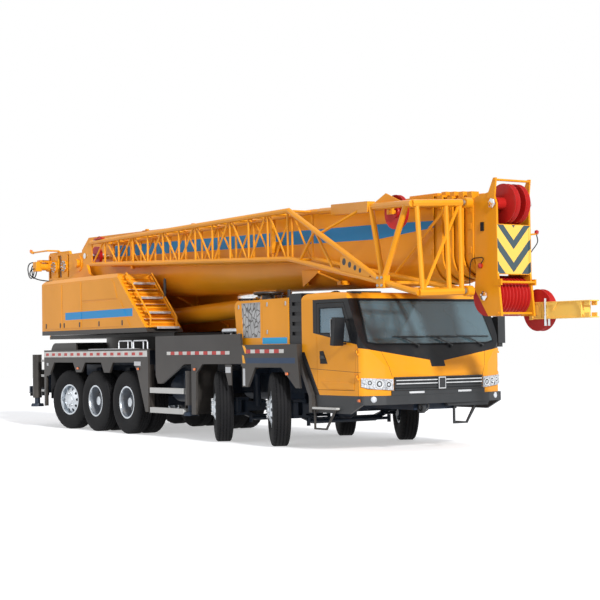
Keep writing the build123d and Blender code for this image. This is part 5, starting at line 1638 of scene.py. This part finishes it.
# %% Winch motor and its hoses
motor, motor_block, hoses = new_meshes(3)
add_turned(motor, [(gap, 0.001), (gap, 0.115), (0.07, 0.115), (0.08, 0.085), (0.26, 0.085), (0.27, 0.060),
                   (0.36, 0.060), (0.37, 0.001)], at(-3.90, -0.62, 3.55), (0, -1, 0), 28)
finish_piece("winch_motor", motor, yellow_paint, "superstructure")
crane_box(motor_block, (-4.03, -3.84), (-0.99, -0.85), (3.44, 3.66))
crane_box(motor_block, (-4.00, -3.80), (-0.90, -0.62), (3.64, 3.70))
crane_box(motor_block, (-4.06, -4.03), (-0.97, -0.87), (3.46, 3.52))
finish_piece("winch_valves", motor_block, yellow_paint, "superstructure", bevel=0.008)
hose_radius, curve_steps = 0.013, 5
for top, low, reach, y in ((3.635, 3.475, -4.37, -0.95), (3.60, 3.50, -4.30, -0.89)):
    crane_pipe(hoses, [(-4.03, y, top), (-4.14, y, top + 0.02), (reach + 0.05, y, top - 0.01),
                       (reach, y - 0.01, 3.52), (reach + 0.04, y, 3.36), (-4.20, y, 3.30), (-4.08, y, 3.38),
                       (-4.045, y, low)], hose_radius, 8, curve_steps)
crane_pipe(hoses, [(-3.95, -0.99, 3.50), (-3.95, -1.06, 3.48), (-3.92, -1.10, 3.36), (-3.86, -0.95, 3.26),
                   (-3.80, -0.70, 3.22), (-3.78, -0.60, 3.22)], hose_radius, 8, curve_steps)
finish_piece("winch_hoses", hoses, hose_rubber, "superstructure")

# %% [markdown]
# A pipe with a small lamp at its end reaches back over the counterweight. Six-sided bolts hold the winches,
# their frame and the weight. They are copies of one bolt again, each turned to point out of its plate.

# %% Lamp arm and bolts
lamp_arm, lamp_tip = new_meshes(2)
arm_z = 3.885
crane_box(lamp_arm, (-3.47, -3.39), (-0.64, -0.56), (3.8603, 3.872))
crane_pipe(lamp_arm, [(-3.43, -0.60, 3.872), (-3.43, -0.62, arm_z), (-3.43, -0.90, arm_z)], 0.020, 10)
crane_pipe(lamp_arm, [(-3.40, -0.90, arm_z), (-4.28, -0.90, arm_z)], 0.020, 10)
crane_pipe(lamp_arm, [(-4.20, -0.90, arm_z), (-4.30, -0.90, 3.90)], 0.032, 12)
finish_piece("lamp_arm", lamp_arm, yellow_paint, "superstructure")
add_turned(lamp_tip, [(0, 0.001), (0, 0.034), (0.05, 0.034), (0.065, 0.02), (0.07, 0.001)],
           at(-4.31, -0.90, 3.90), (-0.3, 0, 1), 20)
finish_piece("lamp_arm_lamp", lamp_tip, amber_lens, "superstructure")
hex_bolt = bmesh.new()
add_turned(hex_bolt, [(0.0, 0.001), (0.0, 0.030), (0.004, 0.030), (0.004, 0.019), (0.018, 0.019),
                      (0.021, 0.001)], (0, 0, 0), (0, 0, 1), 6)
bolt_places = []
for side in (-1, 1):
    for winch_x in (main_winch_x, auxiliary_winch_x):
        for count in range(8):
            turn = count * pi / 4 + 0.2
            bolt_places.append((at(winch_x + 0.10 * cos(turn), side * 0.650, winch_z + 0.10 * sin(turn)),
                                (-side * pi / 2, 0, 0)))
    for x in (-3.8, -3.5, -3.2, -2.9):
        bolt_places.append((at(x, side * 0.620, 3.06), (-side * pi / 2, 0, 0)))
for y in (-0.45, -0.15, 0.15, 0.45):
    for z in (2.10, 2.95):
        bolt_places.append((at(-3.98, y, z), (0, -pi / 2, 0)))
make_copies("frame_bolts", hex_bolt, bolt_places, dull_steel, "superstructure")

# %% [markdown]
# ## The crane operator's cab
#
# The sliding door has a large window with a rubber seal round it, and the front window is its own part in
# the frame. Inside are the seat's armrests with their levers.

# %% Operator's cab
operator_pane = [(0.951, 2.501), (1.699, 2.501), (1.699, 3.259), (0.951, 3.259)]
pane, seal_ring, levers = new_meshes(3)
side_plate(pane, operator_pane, 1.422, 1.428)
finish_piece("operator_door_glass", pane, operator_window, "operator_door")
edge_pipe(seal_ring, operator_pane, 1.444, 0.012)
crane_pipe(seal_ring, [(1.62, 1.450, 2.24), (1.62, 1.470, 2.27), (1.62, 1.470, 2.40), (1.62, 1.450, 2.43)],
           0.010, 8)
finish_piece("operator_door_seal", seal_ring, hose_rubber, "operator_door")
for y in (0.835, 1.215):
    crane_box(levers, (1.16, 1.52), (y - 0.035, y + 0.035), (2.5003, 2.56))
    crane_pipe(levers, [(1.48, y, 2.56), (1.50, y, 2.70)], 0.010, 8)
    add_turned(levers, [(0, 0.001), (0.005, 0.022), (0.04, 0.026), (0.06, 0.016), (0.066, 0.001)],
               at(1.50, y, 2.69), (0.1, 0, 1), 16)
finish_piece("operator_levers", levers, deck_black, "superstructure", bevel=0.004)

# %% [markdown]
# ## Boom and jib
#
# Every section of the boom carries stop blocks and pad covers on its collar. They lie with the boom's slope,
# so `boom_at` turns its directions into ours. Each one rides on its own section and travels out with it when
# the boom is extended.

# %% Stop blocks and collar pads
boom_foot_x, boom_foot_z, boom_tilt = -2.400, 3.550, radians(0.9)
boom_top, boom_half = 0.560, 0.450
section_step = 0.030


def boom_at(along, up):
    """A point in the boom's own directions, measured from its foot pin."""
    return (boom_foot_x + along * cos(boom_tilt) + up * sin(boom_tilt),
            boom_foot_z - along * sin(boom_tilt) + up * cos(boom_tilt))


def boom_prism(bm, along_a, along_b, up_a, up_b, y_a, y_b):
    corners = ((along_a, up_a), (along_b, up_a), (along_b, up_b), (along_a, up_b))
    side_plate(bm, [boom_at(*corner) for corner in corners], y_a, y_b)


section_bodies = ["boom_base", "boom_section_2", "boom_section_3", "boom_section_4", "boom_head_section"]
for index, body in enumerate(section_bodies):
    collar = (0.020 if index else 0.0) - index * section_step
    end = 12.1 + index * 0.2
    start = end - 0.118 if index else end - 0.70
    low, outer = boom_top + collar + gap, boom_half + collar + gap
    stops, pads = new_meshes(2)
    for side in (-1, 1):
        boom_prism(stops, start, end - 0.004, low, low + 0.045 + 0.016 * index, side * 0.22, side * 0.36)
        for up in (-0.30, 0.05, boom_top - 0.14 - index * section_step):
            boom_prism(pads, end - 0.105, end - 0.03, up - 0.045, up + 0.045,
                       side * outer, side * (outer + 0.010))
    boom_prism(stops, end - 0.10, end - 0.04, low, low + 0.030, -0.22, 0.22)
    finish_piece(f"stop_blocks_{index + 1}", stops, yellow_paint, body, bevel=0.006)
    finish_piece(f"pad_covers_{index + 1}", pads, yellow_paint, body, bevel=0.003)

# %% [markdown]
# Along the top of the base section are small lugs and a narrow channel with two cables in it.

# %% Lugs and cables on the boom
top_lugs = bmesh.new()
for along in (2.77, 4.67, 7.5, 9.6):
    boom_prism(top_lugs, along - 0.10, along + 0.10, boom_top + gap, 0.572, -0.46, -0.34)
    boom_prism(top_lugs, along - 0.05, along + 0.05, 0.572, 0.600, -0.42, -0.38)
boom_prism(top_lugs, 0.9, 11.8, boom_top + gap, 0.575, 0.28, 0.34)
finish_piece("boom_top_lugs", top_lugs, yellow_paint, "boom_base", bevel=0.004)
cables = bmesh.new()
for y in (0.30, 0.32):
    places = [boom_at(along, 0.583) for along in (0.9, 4.0, 8.0, 11.8)]
    crane_pipe(cables, [(x, y, z) for x, z in places], 0.008, 6)
finish_piece("boom_cables", cables, hose_rubber, "boom_base")

# %% [markdown]
# The lattice jib is stowed along the base section. A red rope wheel sits in its tip on a bright pin. A rope
# wheel is a turned part with a V groove round its rim.

# %% Rope wheel in the jib's tip
tip_wheel, tip_pin = new_meshes(2)
tip_centre = at(-1.02, -0.85, 3.62)
add_turned(tip_wheel, [(-0.035, 0.058), (-0.035, 0.205), (-0.026, 0.205), (0, 0.172), (0.026, 0.205),
                       (0.035, 0.205), (0.035, 0.058)], tip_centre, (0, 1, 0), 40)
finish_piece("jib_tip_wheel", tip_wheel, red_paint, "boom_base")
add_turned(tip_pin, [(-0.29, 0.001), (-0.29, 0.059), (0.29, 0.059), (0.29, 0.001)], tip_centre, (0, 1, 0), 24)
finish_piece("jib_tip_pin", tip_pin, bright_steel, "boom_base")

# %% [markdown]
# Plates stiffen the jib's corners. The large one near its root follows the outer chords, which lean out
# towards the front, so its distance from the middle changes along it. Its four holes are not cut: they are
# thin discs of painted shade, dark as the view into a hole.

# %% Gussets of the jib
chord_slope, plate_thickness = 0.0983, 0.012
gussets, gusset_hole_shade = new_meshes(2)


def chord_side(x):
    """How far out the jib's outer chords are, between the bend and the knuckle."""
    return -1.100 - (x - 6.70) * chord_slope


root_plate = [(8.45, 2.83), (9.30, 2.68), (9.36, 2.73), (8.62, 3.05), (8.45, 3.03)]
add_slab(gussets, [at(x, chord_side(x) - 0.030 - out, z)
                   for out in (0, plate_thickness) for x, z in root_plate])
# Each hole is a thin dark disc on the plate: painted shade where a hole would be.
for x, z, radius in ((8.57, 2.955, 0.055), (8.74, 2.900, 0.048), (8.90, 2.845, 0.042), (9.05, 2.795, 0.036)):
    add_turned(gusset_hole_shade, [(gap, 0.001), (gap, radius), (0.0012, radius), (0.0012, 0.001)],
               at(x, chord_side(x) - 0.030 - plate_thickness, z), (-chord_slope, -1, 0), 20)
side_plate(gussets, [(9.09, 3.83), (9.39, 3.955), (9.74, 3.81), (9.39, 3.72)], -1.10, -1.12)
side_plate(gussets, [(6.12, 2.96), (6.63, 2.93), (6.58, 2.88), (6.16, 2.67)], -0.455, -0.470)
crane_box(gussets, (6.13, 6.16), (-0.456, -0.30), (2.70, 2.95))
crane_pipe(gussets, [(6.60, -0.462, 2.90), (7.28, -0.462, 2.70)], 0.018, 8)
crane_pipe(gussets, [(6.60, -0.462, 2.90), (6.60, -0.40, 2.93)], 0.018, 8)
crane_box(gussets, (7.22, 7.32), (-0.50, -0.30), (2.66, 2.73))
finish_piece("jib_gussets", gussets, yellow_paint, "boom_base", bevel=0.002)
finish_piece("jib_gusset_holes", gusset_hole_shade, deck_black, "boom_base")

# %% [markdown]
# The jib's root carries a second, wider rope wheel. Two pins hold the root to the boom's head, four bolts
# close its side plate, and a red stop lies on the tip.

# %% Root wheel, pins and stop of the jib
root_wheel, root_pin, jib_pins, red_stop = new_meshes(4)
half_profile = [(-0.040, 0.030), (-0.040, 0.08), (-0.012, 0.09), (-0.012, 0.20), (-0.036, 0.26),
                (-0.026, 0.26)]
other_half = [(-along, radius) for along, radius in reversed(half_profile)]
add_turned(root_wheel, half_profile + [(0, 0.225)] + other_half, at(9.53, -1.02, 3.66), (0, 1, 0), 40)
finish_piece("jib_root_wheel", root_wheel, red_paint, "boom_base")
crane_pipe(root_pin, [(9.53, -1.19, 3.66), (9.53, -0.93, 3.66)], 0.030, 16)
crane_box(root_pin, (9.47, 9.60), (-1.165, -1.12), (3.62, 3.75))
finish_piece("jib_wheel_pin", root_pin, yellow_paint, "boom_base")
for z in (3.73, 2.43):
    add_turned(jib_pins, [(-0.085, 0.001), (-0.085, 0.045), (0.085, 0.045), (0.085, 0.001)],
               at(10.57, -0.52, z), (0, 1, 0), 20)
for x, z in ((9.60, 2.655), (9.70, 2.655), (9.60, 2.54), (9.70, 2.54)):
    add_turned(jib_pins, [(gap, 0.001), (gap, 0.022), (0.018, 0.022), (0.021, 0.001)], at(x, -1.45, z),
               (0, -1, 0), 6)
finish_piece("jib_pins", jib_pins, dull_steel, "boom_base")
crane_box(red_stop, (-0.58, -0.22), (-1.145, -1.055), (3.925, 3.955))
crane_pipe(red_stop, [(-0.52, -1.10, 3.955), (-0.40, -1.10, 3.985), (-0.28, -1.10, 3.955)], 0.012, 8)
finish_piece("jib_stop", red_stop, red_paint, "boom_base", bevel=0.004)

# %% [markdown]
# ## Boom head
#
# The head's front plate has chevrons, which warn traffic of the overhang. They are paint, so a mask on the
# head's own material draws them: the height less a share of the distance from the middle gives a V.

# %% Chevrons
def chevron_field(tree, x, y, z):
    return all_of(tree, above(tree, x, axle_4 + 10.975), opposite(tree, outside(tree, y, 0.325)),
                within(tree, z, 2.67, 3.385))


def chevron_dark(tree, x, y, z):
    v_level = arithmetic(tree, "SUBTRACT", z, arithmetic(tree, "MULTIPLY", from_middle(tree, y), 1.1))
    bands = [within(tree, v_level, low, high) for low, high in ((3.03, 3.165), (2.69, 2.835), (2.35, 2.50))]
    return all_of(tree, chevron_field(tree, x, y, z), any_of(tree, *bands, above(tree, v_level, 3.345)))


head_paint = sprayed("Boom head paint", crane_yellow, stripes=[(chevron_field, (0.82, 0.52, 0.10)),
                                                               (chevron_dark, (0.055, 0.085, 0.10))])
nose_paint = sprayed("Nose cream", (0.86, 0.52, 0.10))
give_finish(nodes["boom_head_section"], head_paint)
give_finish(nodes["auxiliary_nose"], nose_paint)
print("boom head and nose painted")

# %% [markdown]
# On the head's cheeks sit the nuts of its two pins, a red lamp on a short arm, a second lamp lower down, and
# the cables to both. A cable is a smooth curve through points that keep it close to the steel.

# %% Lamps, cables and pins at the head
head_cheek = 0.335
head_pins, head_lamps, head_cables, head_fittings = new_meshes(4)
for along, up in ((13.33, 0.359), (13.14, -0.989)):
    x, z = boom_at(along, up)
    for side in (-1, 1):
        add_turned(head_pins, [(0, 0.001), (0, 0.075), (0.018, 0.075), (0.024, 0.055), (0.026, 0.001)],
                   at(x, side * 0.346, z), (0, side, 0), 6)
finish_piece("head_pins", head_pins, bright_steel, "boom_head_section")
crane_box(head_fittings, (10.76, 10.84), (head_cheek + gap, 0.37), (3.22, 3.30))
crane_pipe(head_fittings, [(10.80, 0.36, 3.26), (10.80, 0.66, 3.29)], 0.014, 8)
crane_box(head_fittings, (10.16, 10.30), (-0.362, -0.3503), (2.98, 3.12))
finish_piece("head_fittings", head_fittings, yellow_paint, "boom_head_section", bevel=0.004)
add_turned(head_lamps, [(0, 0.001), (0, 0.030), (0.04, 0.034), (0.055, 0.02), (0.06, 0.001)],
           at(10.80, 0.64, 3.29), (0, 0.2, 1), 16)
add_turned(head_lamps, [(0, 0.001), (0, 0.040), (0.03, 0.040), (0.045, 0.025), (0.05, 0.001)],
           at(10.65, -head_cheek - gap, 2.80), (0, -1, 0), 20)
finish_piece("head_lamps", head_lamps, red_lens, "boom_head_section")
crane_pipe(head_cables, [(10.80, 0.64, 3.28), (10.84, 0.62, 3.16), (10.86, 0.48, 3.02), (10.84, 0.40, 2.90),
                         (10.80, 0.343, 2.82), (10.80, 0.343, 2.72)], 0.008, 8, curve_steps)
crane_pipe(head_cables, [(10.66, -0.360, 2.81), (10.72, -0.352, 2.90), (10.60, -0.344, 2.92),
                         (10.44, -0.344, 2.88), (10.40, -0.344, 2.60), (10.42, -0.344, 2.35)],
           0.007, 8, curve_steps)
crane_box(head_cables, (10.665, 10.73), (-0.352, -head_cheek - gap), (3.31, 3.44))
finish_piece("head_cables", head_cables, hose_rubber, "boom_head_section")

# %% [markdown]
# The auxiliary nose is a short beam beside the head. Its flanges run a little past the web and end in a fork,
# which a plain block doesn't show, so a dressed beam takes the place of that node.

# %% Auxiliary nose
nose_beam, nose_pins = new_meshes(2)
nose_start, web_end, nose_end = 10.935, 11.985, 12.170
beam_span = (0.346, 0.538)
web_low, web_high = 2.016, 2.234
for z_span in ((2.000, web_low), (web_high, 2.250)):
    crane_box(nose_beam, (nose_start, nose_end), beam_span, z_span)
for web_span in ((0.362, 0.378), (0.506, 0.522)):
    crane_box(nose_beam, (nose_start, web_end), web_span, (web_low, web_high))
    for z_span in ((web_low, 2.075), (2.175, web_high)):
        crane_box(nose_beam, (web_end + 0.06, nose_end - 0.02), web_span, z_span)
crane_box(nose_beam, (web_end, web_end + 0.016), beam_span, (web_low, web_high))
crane_box(nose_beam, (nose_start, nose_start + 0.060), (head_cheek + gap, 0.362), (1.992, 2.268))
for corner in ([(11.42, web_high), (11.52, web_high), (11.42, 2.12)],
               [(11.90, web_high), (web_end, web_high), (web_end, 2.12)]):
    side_plate(nose_beam, corner, 0.346, 0.362)
crane_box(nose_beam, (11.18, 11.42), (0.347, 0.3615), (2.200, 2.233))
crane_box(nose_beam, (11.16, 11.175), (0.347, 0.3615), (2.017, 2.233))
for boss_low, boss_high in ((0.355, 0.388), (0.492, 0.525)):
    add_turned(nose_beam, [(boss_low, 0.001), (boss_low, 0.075), (boss_high, 0.075), (boss_high, 0.001)],
               at(11.06, 0, 2.135), (0, 1, 0), 24)
nose = finish_piece("auxiliary_nose_beam", nose_beam, nose_paint, "boom_head_section", bevel=0.002)
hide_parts("auxiliary_nose")
crane_pipe(nose_pins, [(11.27, 0.346, 1.90), (11.27, 0.346, 2.30)], 0.022, 14)
crane_pipe(nose_pins, [(11.345, 0.346, 1.90), (11.345, 0.346, 2.00)], 0.016, 10)
finish_piece("nose_pins", nose_pins, bright_steel, "boom_head_section")
print("upper works dressed")
